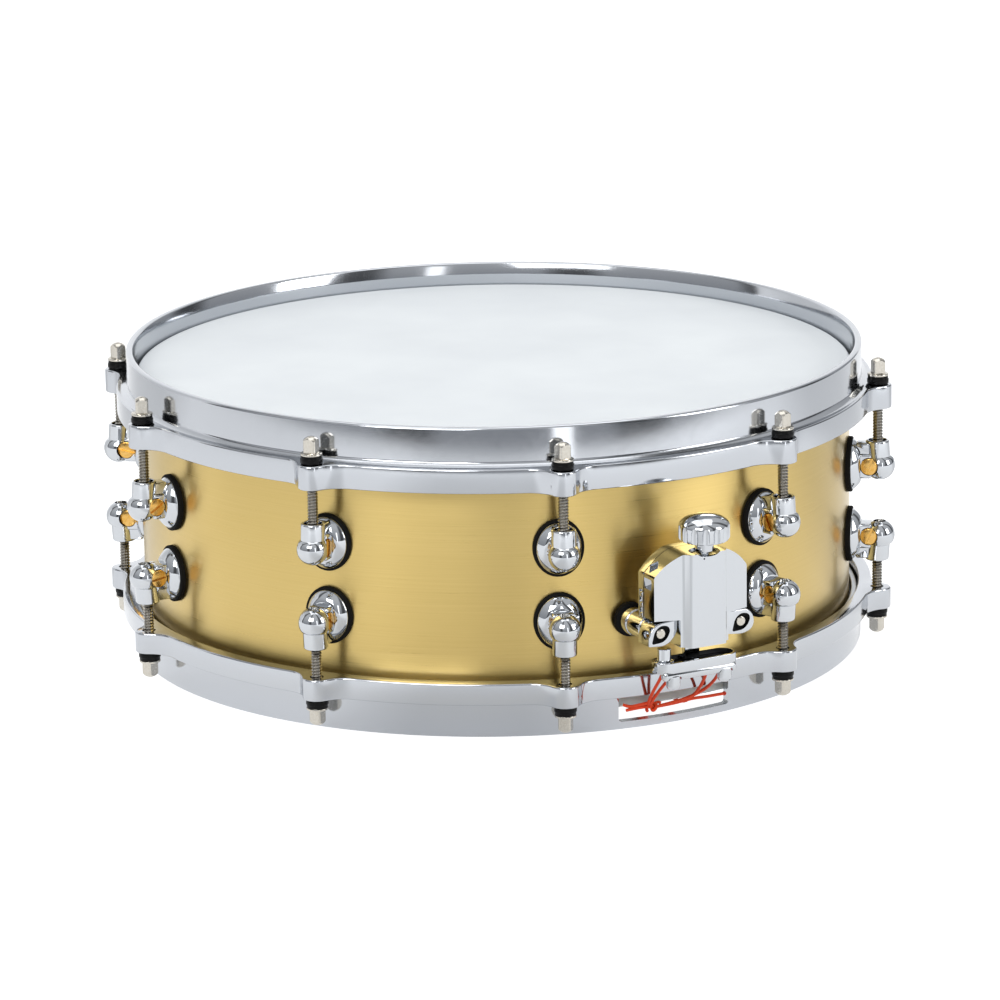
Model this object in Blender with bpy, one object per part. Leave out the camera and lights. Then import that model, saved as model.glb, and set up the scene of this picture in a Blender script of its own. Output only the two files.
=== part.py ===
"""A 14 in snare drum: brass shell, two cast hoops, twenty rods and lugs, throw-off strainer and butt.

Metres, +Z up. The origin is the centre of the batter head's playing surface, the drum's axis is Z,
and the strainer looks along -Y. Azimuths are in degrees from -Y, turning towards +X.
"""

import math

import bmesh
import bpy
from mathutils import Matrix, Vector

MM = 0.001

# The shell and the two heads. Levels are heights over the playing surface.
SHELL_RADIUS = 177.8 * MM
SHELL_WALL = 1.5 * MM
SHELL_TOP = -0.6 * MM
SHELL_BOTTOM = -129.9 * MM
EDGE_LIP = 3.0 * MM
SNARE_HEAD_LEVEL = -130.4 * MM
FILM = 0.3 * MM
FILM_COLLAR_RADIUS = 178.5 * MM
COLLAR_DROP = 5.2 * MM
FLESH_HOOP = {"inner": 178.9 * MM, "outer": 181.6 * MM, "height": 9.0 * MM}

# The hoops: a rim that stands over the head and a flange that carries ten ears.
RIM_TOP = 11.4 * MM
RIM_BOTTOM = -139.7 * MM
RIM_OUTER = 183.8 * MM
RIM_INNER = 179.2 * MM
RIM_LIP_INNER = 180.4 * MM
FLANGE_OUTER = 189.0 * MM
FLANGE_INNER = 182.5 * MM
SHELF_INNER = 186.6 * MM
BATTER_FLANGE = {"shoulder": -5.7 * MM, "top": -7.5 * MM, "bottom": -19.4 * MM}
SNARE_FLANGE = {"shoulder": -122.5 * MM, "top": -122.5 * MM, "bottom": -111.9 * MM}
EAR_RADIUS = 6.9 * MM
EAR_FILLET = 6.0 * MM
EAR_HOLE = 3.3 * MM
GATE = {"half_width": 30.0 * MM, "low": -135.8 * MM, "high": -123.4 * MM}

# Rods and lugs.
RODS = 10
ROD_STEP = 360.0 / RODS
FIRST_ROD = ROD_STEP / 2.0
ROD_CIRCLE = 192.4 * MM
ROD_SHANK = 2.7 * MM
ROD_FLANGE = 5.25 * MM
ROD_HEAD = 3.6 * MM
ROD_HEAD_HEIGHT = 8.0 * MM
HEAD_CORNER = 11.0
WASHER_HEIGHT = 4.0 * MM
TOP_SEAT = -7.2 * MM
BOTTOM_SEAT = -122.8 * MM
TOP_LUG_LEVEL = -49.0 * MM
BOTTOM_LUG_LEVEL = -84.9 * MM
LUG_BALL = 7.6 * MM
LUG_COLLAR = 5.9 * MM
LUG_REACH = 12.8 * MM
LUG_BORE = 3.1 * MM
LUG_BASE = {"width": 11.0 * MM, "height": 12.75 * MM, "back": 178.8 * MM, "front": 184.6 * MM}

# The strainer, in front of the shell at -Y. Depths are distances from the drum's axis.
POST_X = 21.7 * MM
POST_LEVEL = -86.7 * MM
POST_REAR_RADIUS = 6.8 * MM
POST_RADIUS = 6.1 * MM
BOSS_RADIUS = 6.0 * MM
LEVER_DEPTH = (192.6 * MM, 197.8 * MM)
COVER_DEPTH = (198.1 * MM, 208.0 * MM)
COVER_HALF = 25.0 * MM
COVER_TOP = -48.4 * MM
COVER_BOTTOM = -93.8 * MM
NOTCH = {"x": 12.9 * MM, "top": -80.4 * MM}
RIB_HALF = 9.5 * MM
RIB_DEPTH = 215.8 * MM
CAVITY = {"half": 8.0 * MM, "depth": 213.6 * MM, "top": -53.0 * MM}
KNOB_DEPTH = 211.3 * MM
KNOB_RADIUS = 12.1 * MM
CARRIAGE = {"half": 7.6 * MM, "bottom": -87.7 * MM, "top": -59.5 * MM}
JAW = {"half": 21.9 * MM, "depth": 201.0 * MM, "radius": 6.8 * MM, "low": -105.2 * MM, "high": -100.2 * MM}
BAR_HALF = 20.0 * MM
CLAMP_SCREW_X = 13.9 * MM

# The butt plate, behind the shell at +Y.
BUTT = {"back": 178.1 * MM, "front": 186.0 * MM, "half": 15.0 * MM, "top": -70.0 * MM}
BUTT_JAW = {"half": 20.0 * MM, "front": 203.0 * MM, "low": -101.7 * MM, "high": -96.7 * MM}

# Snare wires and their cords.
WIRES = 20
WIRE_PITCH = 2.0 * MM
WIRE_WIDTH = 1.2 * MM
WIRE_LEVELS = (-132.2 * MM, -130.8 * MM)
WIRE_HALF_LENGTH = 152.3 * MM
WIRE_PLATE = 16.0 * MM
CORD_RADIUS = 0.8 * MM
CORD_LEVEL = -131.6 * MM

RING_STEPS = 60
LUG_STEPS = 10

FINISHES = {
    "brass": ((0.62, 0.47, 0.22), 0.32, 1.0),
    "chrome": ((0.78, 0.79, 0.81), 0.08, 1.0),
    "nickel": ((0.66, 0.63, 0.59), 0.25, 1.0),
    "coated_film": ((0.86, 0.88, 0.89), 0.6, 0.0),
    "clear_film": ((0.72, 0.74, 0.75), 0.2, 0.0),
    "aluminium": ((0.7, 0.7, 0.72), 0.3, 1.0),
    "spring_steel": ((0.6, 0.6, 0.6), 0.25, 1.0),
    "cord": ((0.8, 0.12, 0.03), 0.7, 0.0),
}


def clear_scene():
    """Remove whatever the file opened with."""
    for obj in list(bpy.data.objects):
        bpy.data.objects.remove(obj, do_unlink=True)


def new_collection(name, hidden=False):
    """Add a collection to the scene."""
    collection = bpy.data.collections.new(name)
    collection.hide_render = hidden
    bpy.context.scene.collection.children.link(collection)
    return collection


def make_material(name):
    """Make one Principled material from the table of finishes."""
    color, roughness, metallic = FINISHES[name]
    material = bpy.data.materials.new(name)
    material.use_nodes = True
    shader = material.node_tree.nodes["Principled BSDF"]
    shader.inputs["Base Color"].default_value = (*color, 1.0)
    shader.inputs["Roughness"].default_value = roughness
    shader.inputs["Metallic"].default_value = metallic
    return material


def polar(azimuth, radius, level=0.0):
    """A point at an azimuth in degrees from -Y."""
    angle = math.radians(azimuth)
    return Vector((radius * math.sin(angle), -radius * math.cos(angle), level))


def add_object(name, mesh, collection, material=None):
    """Link a mesh as an object."""
    obj = bpy.data.objects.new(name, mesh)
    if material is not None:
        mesh.materials.clear()
        mesh.materials.append(material)
    collection.objects.link(obj)
    return obj


def mesh_from(bm, name):
    """Turn a bmesh into a mesh with outward normals."""
    bmesh.ops.recalc_face_normals(bm, faces=bm.faces)
    mesh = bpy.data.meshes.new(name)
    bm.to_mesh(mesh)
    bm.free()
    return mesh


def turned_mesh(name, profile, steps):
    """Spin a closed profile of (radius, level) points round Z."""
    bm = bmesh.new()
    verts = [bm.verts.new((radius, 0.0, level)) for radius, level in profile]
    edges = [bm.edges.new((verts[i - 1], verts[i])) for i in range(len(verts))]
    bmesh.ops.spin(
        bm, geom=verts + edges, cent=(0, 0, 0), axis=(0, 0, 1), angle=math.tau, steps=steps, use_merge=True
    )
    return mesh_from(bm, name)


def solid_of_revolution(name, profile, steps):
    """Spin an open profile that starts and ends on the axis."""
    bm = bmesh.new()
    verts = [bm.verts.new((radius, 0.0, level)) for radius, level in profile]
    edges = [bm.edges.new(pair) for pair in zip(verts, verts[1:])]
    bmesh.ops.spin(
        bm, geom=verts + edges, cent=(0, 0, 0), axis=(0, 0, 1), angle=math.tau, steps=steps, use_merge=True
    )
    bmesh.ops.remove_doubles(bm, verts=bm.verts, dist=1e-6)
    bmesh.ops.dissolve_degenerate(bm, edges=bm.edges, dist=1e-6)
    return mesh_from(bm, name)


def box_mesh(name, low, high):
    """A box between two corners."""
    low, high = Vector(low), Vector(high)
    bm = bmesh.new()
    bmesh.ops.create_cube(bm, size=1.0)
    bmesh.ops.scale(bm, vec=high - low, verts=bm.verts)
    bmesh.ops.translate(bm, vec=(low + high) / 2.0, verts=bm.verts)
    return mesh_from(bm, name)


def rod_mesh(name, start, end, radius, segments, twist=0.0):
    """A round bar between two points, turned about its own axis by twist degrees."""
    start, end = Vector(start), Vector(end)
    bm = bmesh.new()
    bmesh.ops.create_cone(
        bm, cap_ends=True, segments=segments, radius1=radius, radius2=radius, depth=(end - start).length
    )
    turn = Vector((0, 0, 1)).rotation_difference(end - start).to_matrix().to_4x4()
    turn = turn @ Matrix.Rotation(math.radians(twist), 4, "Z")
    bmesh.ops.transform(bm, matrix=Matrix.Translation((start + end) / 2.0) @ turn, verts=bm.verts)
    return mesh_from(bm, name)


def plate_mesh(name, outline, depths):
    """A flat outline of (x, level) points, standing between two distances in front of the axis."""
    bm = bmesh.new()
    face = bm.faces.new([bm.verts.new((x, -depths[0], level)) for x, level in outline])
    grown = bmesh.ops.extrude_face_region(bm, geom=[face])
    moved = [item for item in grown["geom"] if isinstance(item, bmesh.types.BMVert)]
    bmesh.ops.translate(bm, vec=(0.0, depths[0] - depths[1], 0.0), verts=moved)
    return mesh_from(bm, name)


def prism_mesh(name, outline, levels):
    """A plan outline of (x, y) points, extruded between two levels."""
    bm = bmesh.new()
    face = bm.faces.new([bm.verts.new((x, y, levels[0])) for x, y in outline])
    grown = bmesh.ops.extrude_face_region(bm, geom=[face])
    moved = [item for item in grown["geom"] if isinstance(item, bmesh.types.BMVert)]
    bmesh.ops.translate(bm, vec=(0.0, 0.0, levels[1] - levels[0]), verts=moved)
    return mesh_from(bm, name)


def arc(center, radius, start, stop, steps):
    """Points on an arc, angles in degrees."""
    angles = [math.radians(start + (stop - start) * i / steps) for i in range(steps + 1)]
    return [(center[0] + radius * math.cos(a), center[1] + radius * math.sin(a)) for a in angles]


def combine(name, mesh, tools, places):
    """Join and cut a mesh with others; tools is a list of (operation, mesh)."""
    obj = add_object(name, mesh, places["cutters"])
    for number, (operation, tool_mesh) in enumerate(tools):
        tool = add_object(f"{name}_tool_{number}", tool_mesh, places["cutters"])
        tool.display_type = "WIRE"
        modifier = obj.modifiers.new(f"{operation.lower()}_{number}", "BOOLEAN")
        modifier.operation = operation
        modifier.solver = "EXACT"
        modifier.object = tool
    bpy.context.view_layer.update()
    evaluated = obj.evaluated_get(bpy.context.evaluated_depsgraph_get())
    result = bpy.data.meshes.new_from_object(evaluated)
    result.name = name
    bpy.data.objects.remove(obj, do_unlink=True)
    return result


def build_shell(parts, materials):
    """The brass shell: a thin tube with its edges turned inwards."""
    outer, inner = SHELL_RADIUS, SHELL_RADIUS - SHELL_WALL
    profile = [
        (outer, SHELL_TOP - EDGE_LIP),
        (outer, SHELL_BOTTOM + EDGE_LIP),
        (inner, SHELL_BOTTOM),
        (inner - EDGE_LIP, SHELL_BOTTOM + EDGE_LIP),
        (inner, SHELL_BOTTOM + 2.0 * EDGE_LIP),
        (inner, SHELL_TOP - 2.0 * EDGE_LIP),
        (inner - EDGE_LIP, SHELL_TOP - EDGE_LIP),
        (inner, SHELL_TOP),
    ]
    add_object("shell", turned_mesh("shell", profile, RING_STEPS), parts, materials["brass"])


def build_heads(parts, materials):
    """Two drumheads, each a film with a collar over the shell's edge and a ring that holds it."""
    sides = (("batter", 0.0, -1.0, "coated_film"), ("snare", SNARE_HEAD_LEVEL, 1.0, "clear_film"))
    inner = FILM_COLLAR_RADIUS - FILM
    for side, level, inward, finish in sides:
        profile = [
            (0.0, level),
            (FILM_COLLAR_RADIUS - 0.5 * MM, level),
            (FILM_COLLAR_RADIUS, level + inward * 0.5 * MM),
            (FILM_COLLAR_RADIUS, level + inward * COLLAR_DROP),
            (inner, level + inward * COLLAR_DROP),
            (inner, level + inward * FILM),
            (0.0, level + inward * FILM),
        ]
        add_object(f"{side}_head_film", solid_of_revolution(side, profile, RING_STEPS), parts, materials[finish])
        near = level + inward * (COLLAR_DROP + 0.3 * MM)
        far = near + inward * FLESH_HOOP["height"]
        ring = [(FLESH_HOOP[edge], z) for edge, z in (("outer", near), ("outer", far), ("inner", far), ("inner", near))]
        name = f"{side}_flesh_hoop"
        add_object(name, turned_mesh(name, ring, RING_STEPS), parts, materials["aluminium"])


def ear_outline():
    """One ear and half the flange on each side of it, as (azimuth offset, radius) points."""
    fillet_circle = FLANGE_OUTER + EAR_FILLET
    reach = EAR_RADIUS + EAR_FILLET
    cosine = (ROD_CIRCLE**2 + fillet_circle**2 - reach**2) / (2.0 * ROD_CIRCLE * fillet_circle)
    valley = math.acos(cosine)
    center = Vector((fillet_circle * math.sin(valley), fillet_circle * math.cos(valley)))
    ear = Vector((0.0, ROD_CIRCLE))
    touch = ear + (center - ear) * EAR_RADIUS / reach
    middle = center + ((center * -1.0).normalized() + (ear - center).normalized()).normalized() * EAR_FILLET
    tip = ear + Vector((math.sin(0.75), math.cos(0.75))) * EAR_RADIUS
    side = [tip, touch, middle, center * FLANGE_OUTER / fillet_circle]
    flange = [math.radians(ROD_STEP / 2.0) - (math.radians(ROD_STEP / 2.0) - valley) * k / 2.0 for k in (1, 0)]
    points = [(0.0, ROD_CIRCLE + EAR_RADIUS)] + [(math.atan2(p.x, p.y), p.length) for p in side]
    points += [(angle, FLANGE_OUTER) for angle in flange]
    return [(-angle, radius) for angle, radius in reversed(points[1:-1])] + points


def hoop_mesh(name, rim, lip, flange):
    """Loft one hoop: its flange swells into an ear at each rod. rim is its free edge, lip its step."""
    outline = ear_outline()
    sections = []
    for rod in range(RODS):
        center = math.radians(FIRST_ROD + rod * ROD_STEP)
        for offset, outer in outline:
            shelf = [(SHELF_INNER, flange["top"])] if flange["shoulder"] != flange["top"] else []
            profile = [
                (RIM_OUTER, rim), (RIM_OUTER, flange["shoulder"]), *shelf, (outer, flange["top"]),
                (outer, flange["bottom"]), (FLANGE_INNER, flange["bottom"]), (FLANGE_INNER, lip["seat"]),
                (RIM_INNER, lip["seat"]), (RIM_INNER, lip["step"]), (RIM_LIP_INNER, rim),
            ]
            sections.append([polar(math.degrees(center + offset), r, z) for r, z in profile])
    bm = bmesh.new()
    rings = [[bm.verts.new(point) for point in section] for section in sections]
    for first, second in zip(rings, rings[1:] + rings[:1]):
        for i in range(len(first)):
            bm.faces.new((first[i - 1], first[i], second[i], second[i - 1]))
    return mesh_from(bm, name)


def build_hoops(parts, places, materials):
    """The two hoops, drilled at each ear; the lower one has a gate at the strainer and the butt."""
    batter_seat = -COLLAR_DROP
    snare_seat = SNARE_HEAD_LEVEL + COLLAR_DROP
    hoops = {
        "batter_hoop": (RIM_TOP, {"seat": batter_seat, "step": RIM_TOP - 6.0 * MM}, BATTER_FLANGE),
        "snare_side_hoop": (RIM_BOTTOM, {"seat": snare_seat, "step": RIM_BOTTOM + 5.0 * MM}, SNARE_FLANGE),
    }
    for name, (rim, lip, flange) in hoops.items():
        middle = (flange["top"] + flange["bottom"]) / 2.0
        tools = []
        for rod in range(RODS):
            azimuth = FIRST_ROD + rod * ROD_STEP
            low = polar(azimuth, ROD_CIRCLE, middle - 12.0 * MM)
            high = polar(azimuth, ROD_CIRCLE, middle + 12.0 * MM)
            tools.append(("DIFFERENCE", rod_mesh(f"{name}_hole", low, high, EAR_HOLE, 8, azimuth + 11.0)))
        if name == "snare_side_hoop":
            for side in (-1.0, 1.0):
                near, far = sorted((side * (RIM_INNER - 12.0 * MM), side * (RIM_OUTER + 2.0 * MM)))
                low = (-GATE["half_width"], near, GATE["low"])
                high = (GATE["half_width"], far, GATE["high"])
                tools.append(("DIFFERENCE", box_mesh("gate", low, high)))
        mesh = combine(name, hoop_mesh(name, rim, lip, flange), tools, places)
        add_object(name, mesh, parts, materials["chrome"])


def rod_sections(length):
    """Stacked sections of a tension rod as (level, radius, squareness), its seat at level 0."""
    flange_top = WASHER_HEIGHT + 1.0 * MM
    head_top = flange_top + ROD_HEAD_HEIGHT
    return [
        (-length, ROD_SHANK * 0.7, 0.0), (-length + 1.0 * MM, ROD_SHANK, 0.0), (0.0, ROD_SHANK, 0.0),
        (0.0, ROD_FLANGE, 0.0), (flange_top, ROD_FLANGE, 0.0), (flange_top, ROD_HEAD, 1.0),
        (head_top - 1.5 * MM, ROD_HEAD, 1.0), (head_top, ROD_HEAD * 0.6, 0.0),
    ]


def tension_rod_mesh(name, length):
    """A tension rod with its washer: round shank, round flange and a square head."""
    bm = bmesh.new()
    rings = []
    for level, radius, squareness in rod_sections(length):
        ring = []
        for side in range(8):
            lean = HEAD_CORNER if side % 2 else -HEAD_CORNER
            angle = math.radians(45.0 * side + 22.5 + squareness * lean)
            ring.append(bm.verts.new((radius * math.cos(angle), radius * math.sin(angle), level)))
        rings.append(ring)
    for low, high in zip(rings, rings[1:]):
        for i in range(8):
            bm.faces.new((low[i - 1], low[i], high[i], high[i - 1]))
    bm.faces.new(rings[0])
    bm.faces.new(rings[-1])
    return mesh_from(bm, name)


def build_tension_rods(parts, materials):
    """Ten rods into the upper lugs and ten into the lower ones, each on its own turning axis."""
    sets = (
        ("top", TOP_SEAT, TOP_SEAT - (TOP_LUG_LEVEL - 6.0 * MM), 0.0),
        ("bottom", BOTTOM_SEAT, BOTTOM_LUG_LEVEL + 6.0 * MM - BOTTOM_SEAT, math.pi),
    )
    for side, seat, length, flip in sets:
        mesh = tension_rod_mesh(f"tension_rod_{side}", length)
        mesh.materials.append(materials["nickel"])
        for rod in range(RODS):
            azimuth = FIRST_ROD + rod * ROD_STEP
            obj = bpy.data.objects.new(f"tension_rod_{side}_{rod + 1:02d}", mesh)
            obj.location = polar(azimuth, ROD_CIRCLE, seat)
            obj.rotation_euler = (flip, 0.0, math.radians(azimuth))
            parts.objects.link(obj)


def lug_mesh(places):
    """One lug, its ball at the origin, its collar pointing up and its base towards +Y."""
    collar = turned_mesh(
        "lug",
        [
            (LUG_BORE, LUG_REACH), (LUG_COLLAR, LUG_REACH), (LUG_COLLAR, 4.8 * MM), (LUG_BALL, 0.8 * MM),
            (LUG_BALL * 0.86, -4.0 * MM), (LUG_BORE, -LUG_BALL * 0.9),
        ],
        LUG_STEPS,
    )
    back = ROD_CIRCLE - LUG_BASE["back"]
    front = ROD_CIRCLE - LUG_BASE["front"]
    ring = [(LUG_BASE["width"] * math.cos(a), LUG_BASE["height"] * math.sin(a))
            for a in (math.tau * i / 12 for i in range(12))]
    base = plate_mesh("lug_base", ring, (-back, -front))
    arm = box_mesh("lug_arm", (-5.2 * MM, 3.9 * MM, -6.2 * MM), (5.2 * MM, front + 1.0 * MM, 6.2 * MM))
    return combine("lug", collar, [("UNION", arm), ("UNION", base)], places)


def build_lugs(parts, places, materials):
    """Ten upper lugs with their collars up and ten lower ones turned over."""
    mesh = lug_mesh(places)
    mesh.materials.clear()
    mesh.materials.append(materials["chrome"])
    for side, level, flip in (("top", TOP_LUG_LEVEL, 0.0), ("bottom", BOTTOM_LUG_LEVEL, math.pi)):
        for number in range(RODS):
            azimuth = FIRST_ROD + number * ROD_STEP
            obj = bpy.data.objects.new(f"lug_{side}_{number + 1:02d}", mesh)
            obj.location = polar(azimuth, ROD_CIRCLE, level)
            obj.rotation_euler = (0.0, flip, math.radians(azimuth))
            parts.objects.link(obj)


def arch(half, bottom, top, corner):
    """A tombstone outline: straight sides, round shoulders and a flat top."""
    right = arc((half - corner, top - corner), corner, 0.0, 90.0, 5)
    left = arc((corner - half, top - corner), corner, 90.0, 180.0, 5)
    return [(half, bottom)] + right + left + [(-half, bottom)]


def build_posts(parts, places, materials):
    """Two stepped posts that carry the strainer, each with a boss and a pivot pin at its front."""
    for side, name in ((-1.0, "strainer_post_left"), (1.0, "strainer_post_right")):
        x = side * POST_X
        rear = rod_mesh(name, (x, -177.9 * MM, POST_LEVEL), (x, -186.0 * MM, POST_LEVEL), POST_REAR_RADIUS, 20)
        front = rod_mesh("front", (x, -184.0 * MM, POST_LEVEL), (x, -198.4 * MM, POST_LEVEL), POST_RADIUS, 20)
        inner, top = NOTCH["x"] + 0.3 * MM, NOTCH["top"] - 0.3 * MM
        round_side = arc((POST_X, POST_LEVEL), BOSS_RADIUS, 90.0, -160.0, 10)
        outline = [(side * px, pz) for px, pz in [(inner, top)] + round_side]
        boss = plate_mesh("boss", outline, (198.3 * MM, 209.0 * MM))
        mesh = combine(name, rear, [("UNION", front), ("UNION", boss)], places)
        add_object(name, mesh, parts, materials["chrome"])


def build_cover(parts, places, materials):
    """The front casting: an arch with a raised rib, open behind and below for the carriage."""
    outline = arch(COVER_HALF, COVER_BOTTOM, COVER_TOP, 14.0 * MM)
    body = plate_mesh("strainer_cover", outline, (COVER_DEPTH[0], RIB_DEPTH + 5.0 * MM))
    half, rib = COVER_HALF + 1.0 * MM, RIB_HALF
    plan = [
        (-half, -COVER_DEPTH[0]), (-half, -COVER_DEPTH[1]), (-rib - 1.0 * MM, -211.6 * MM), (-rib, -RIB_DEPTH),
        (rib, -RIB_DEPTH), (rib + 1.0 * MM, -211.6 * MM), (half, -COVER_DEPTH[1]), (half, -COVER_DEPTH[0]),
    ]
    tools = [("INTERSECT", prism_mesh("plan", plan, (COVER_BOTTOM - 5.0 * MM, COVER_TOP + 5.0 * MM)))]
    for side in (-1.0, 1.0):
        x = sorted((side * NOTCH["x"], side * (COVER_HALF + 4.0 * MM)))
        low = (x[0], -RIB_DEPTH - 5.0 * MM, COVER_BOTTOM - 4.0 * MM)
        tools.append(("DIFFERENCE", box_mesh("notch", low, (x[1], -190.0 * MM, NOTCH["top"]))))
    cavity_low = (-CAVITY["half"], -CAVITY["depth"], COVER_BOTTOM - 4.0 * MM)
    tools.append(("DIFFERENCE", box_mesh("cavity", cavity_low, (CAVITY["half"], -190.0 * MM, CAVITY["top"]))))
    start = (0.0, -KNOB_DEPTH, CAVITY["top"] - 3.0 * MM)
    tools.append(("DIFFERENCE", rod_mesh("screw_way", start, (0.0, -KNOB_DEPTH, COVER_TOP + 4.0 * MM), 2.3 * MM, 10)))
    add_object("strainer_cover", combine("strainer_cover", body, tools, places), parts, materials["chrome"])


def build_lever(parts, places, materials):
    """The throw lever: a horseshoe behind the cover whose feet sit on the two posts."""
    origin = Vector((-POST_X, 0.0, POST_LEVEL))
    outer = arch(COVER_HALF, POST_LEVEL + 1.2 * MM, COVER_TOP, 14.0 * MM)
    inner = arch(15.8 * MM, POST_LEVEL - 4.0 * MM, COVER_TOP - 9.5 * MM, 9.0 * MM)
    tools = [("DIFFERENCE", plate_mesh("inside", inner, (LEVER_DEPTH[0] - 5.0 * MM, LEVER_DEPTH[1] + 5.0 * MM)))]
    for side in (-1.0, 1.0):
        x = side * POST_X
        saddle = rod_mesh("saddle", (x, -185.0 * MM, POST_LEVEL), (x, -205.0 * MM, POST_LEVEL), 6.5 * MM, 24)
        tools.append(("DIFFERENCE", saddle))
    mesh = combine("throw_lever", plate_mesh("throw_lever", outer, LEVER_DEPTH), tools, places)
    mesh.transform(Matrix.Translation(-origin))
    lever = add_object("throw_lever", mesh, parts, materials["chrome"])
    lever.location = origin


def build_knob(parts, materials):
    """The tension knob on its screw, turning about an upright axis."""
    bottom = COVER_TOP + 0.3 * MM
    profile = [
        (0.0, 22.2 * MM), (7.0 * MM, 20.8 * MM), (11.2 * MM, 17.2 * MM), (KNOB_RADIUS, 15.6 * MM),
        (KNOB_RADIUS, 6.4 * MM), (11.0 * MM, 4.9 * MM), (3.9 * MM, 4.9 * MM), (3.9 * MM, 0.0),
        (1.9 * MM, 0.0), (1.9 * MM, CARRIAGE["top"] + 0.8 * MM - bottom), (0.0, CARRIAGE["top"] + 0.8 * MM - bottom),
    ]
    knob = add_object("strainer_knob", solid_of_revolution("strainer_knob", profile, 20), parts, materials["chrome"])
    knob.location = (0.0, -KNOB_DEPTH, bottom)
    knob.scale = (1.0, 1.0, 1.0)


def stadium(half, radius, depth):
    """A plan outline with round ends, centred in front of the drum at a depth."""
    flat = half - radius
    points = arc((flat, -depth), radius, -90.0, 90.0, 6) + arc((-flat, -depth), radius, 90.0, 270.0, 6)
    return points


def build_clamp(parts, places, materials):
    """The carriage inside the cover, the clamp that hangs under it, and the clamp's screwed bar."""
    half = CARRIAGE["half"]
    carriage = box_mesh(
        "carriage", (-half, -213.2 * MM, CARRIAGE["bottom"]), (half, -199.0 * MM, CARRIAGE["top"])
    )
    add_object("snare_carriage", carriage, parts, materials["chrome"])

    jaw = prism_mesh("jaw", stadium(JAW["half"], JAW["radius"], JAW["depth"]), (JAW["low"], JAW["high"]))
    stem = box_mesh("stem", (-5.0 * MM, -206.0 * MM, JAW["high"] - 1.0 * MM), (5.0 * MM, -201.0 * MM, -91.2 * MM))
    leg_x = -17.0 * MM
    leg = rod_mesh(
        "leg", (leg_x, -JAW["depth"], JAW["high"] - 1.0 * MM), (leg_x, -JAW["depth"], -95.7 * MM), 4.6 * MM, 16
    )
    clamp = combine("snare_clamp", jaw, [("UNION", stem), ("UNION", leg)], places)
    add_object("snare_clamp", clamp, parts, materials["chrome"])

    build_bar("snare_clamp_bar", -1.0, (202.8 * MM, 209.4 * MM), (-112.2 * MM, -105.5 * MM), parts, places, materials)


def build_bar(name, side, depths, levels, parts, places, materials):
    """A clamp's lower bar with its two key screws; side is -1 in front of the drum and 1 behind it."""
    y = sorted((side * depths[0], side * depths[1]))
    body = box_mesh(name, (-BAR_HALF, y[0], levels[0]), (BAR_HALF, y[1], levels[1]))
    middle = (y[0] + y[1]) / 2.0
    tools = []
    for x in (-CLAMP_SCREW_X, CLAMP_SCREW_X):
        start = (x, middle, levels[0] + 1.0 * MM)
        tools.append(("UNION", rod_mesh("screw", start, (x, middle, levels[0] - 5.4 * MM), 3.2 * MM, 12)))
    add_object(name, combine(name, body, tools, places), parts, materials["chrome"])


def build_butt(parts, places, materials):
    """The butt plate that holds the far end of the snares, and its clamp bar."""
    low = (-BUTT["half"], BUTT["back"], BUTT_JAW["low"])
    body = box_mesh("butt_plate", low, (BUTT["half"], BUTT["front"], BUTT["top"]))
    jaw_low = (-BUTT_JAW["half"], BUTT["front"] - 1.0 * MM, BUTT_JAW["low"])
    jaw_high = (BUTT_JAW["half"], BUTT_JAW["front"], BUTT_JAW["high"])
    mesh = combine("butt_plate", body, [("UNION", box_mesh("jaw", jaw_low, jaw_high))], places)
    add_object("butt_plate", mesh, parts, materials["chrome"])
    levels = (BUTT_JAW["low"] - 7.0 * MM, BUTT_JAW["low"] - 0.3 * MM)
    build_bar("butt_clamp_bar", 1.0, (194.0 * MM, 202.6 * MM), levels, parts, places, materials)


def build_snare_wires(parts, materials):
    """The snare wires between their two end plates, as a flat comb with open slots."""
    half = WIRES * WIRE_PITCH / 2.0
    inner = WIRE_HALF_LENGTH - WIRE_PLATE
    outlines = [[(-half, -WIRE_HALF_LENGTH), (half, -WIRE_HALF_LENGTH), (half, WIRE_HALF_LENGTH),
                 (-half, WIRE_HALF_LENGTH)]]
    for gap in range(1, WIRES):
        center = -half + gap * WIRE_PITCH
        width = (WIRE_PITCH - WIRE_WIDTH) / 2.0
        outlines.append([(center - width, -inner), (center + width, -inner),
                         (center + width, inner), (center - width, inner)])
    curve = bpy.data.curves.new("snare_wires", "CURVE")
    curve.dimensions = "2D"
    curve.fill_mode = "BOTH"
    curve.extrude = (WIRE_LEVELS[1] - WIRE_LEVELS[0]) / 2.0
    for outline in outlines:
        spline = curve.splines.new("POLY")
        spline.points.add(len(outline) - 1)
        for point, (x, y) in zip(spline.points, outline):
            point.co = (x, y, 0.0, 1.0)
        spline.use_cyclic_u = True
    curve.materials.append(materials["spring_steel"])
    wires = bpy.data.objects.new("snare_wires", curve)
    wires.location = (0.0, 0.0, sum(WIRE_LEVELS) / 2.0)
    parts.objects.link(wires)


def smooth_route(points, between):
    """Points along a Catmull-Rom curve through the given ones."""
    padded = [points[0]] + list(points) + [points[-1]]
    route = []
    for a, b, c, d in zip(padded, padded[1:], padded[2:], padded[3:]):
        for step in range(between):
            t = step / between
            route.append(0.5 * ((2.0 * b) + (c - a) * t + (2.0 * a - 5.0 * b + 4.0 * c - d) * t * t
                                + (3.0 * b - a - 3.0 * c + d) * t * t * t))
    return route + [points[-1]]


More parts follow.
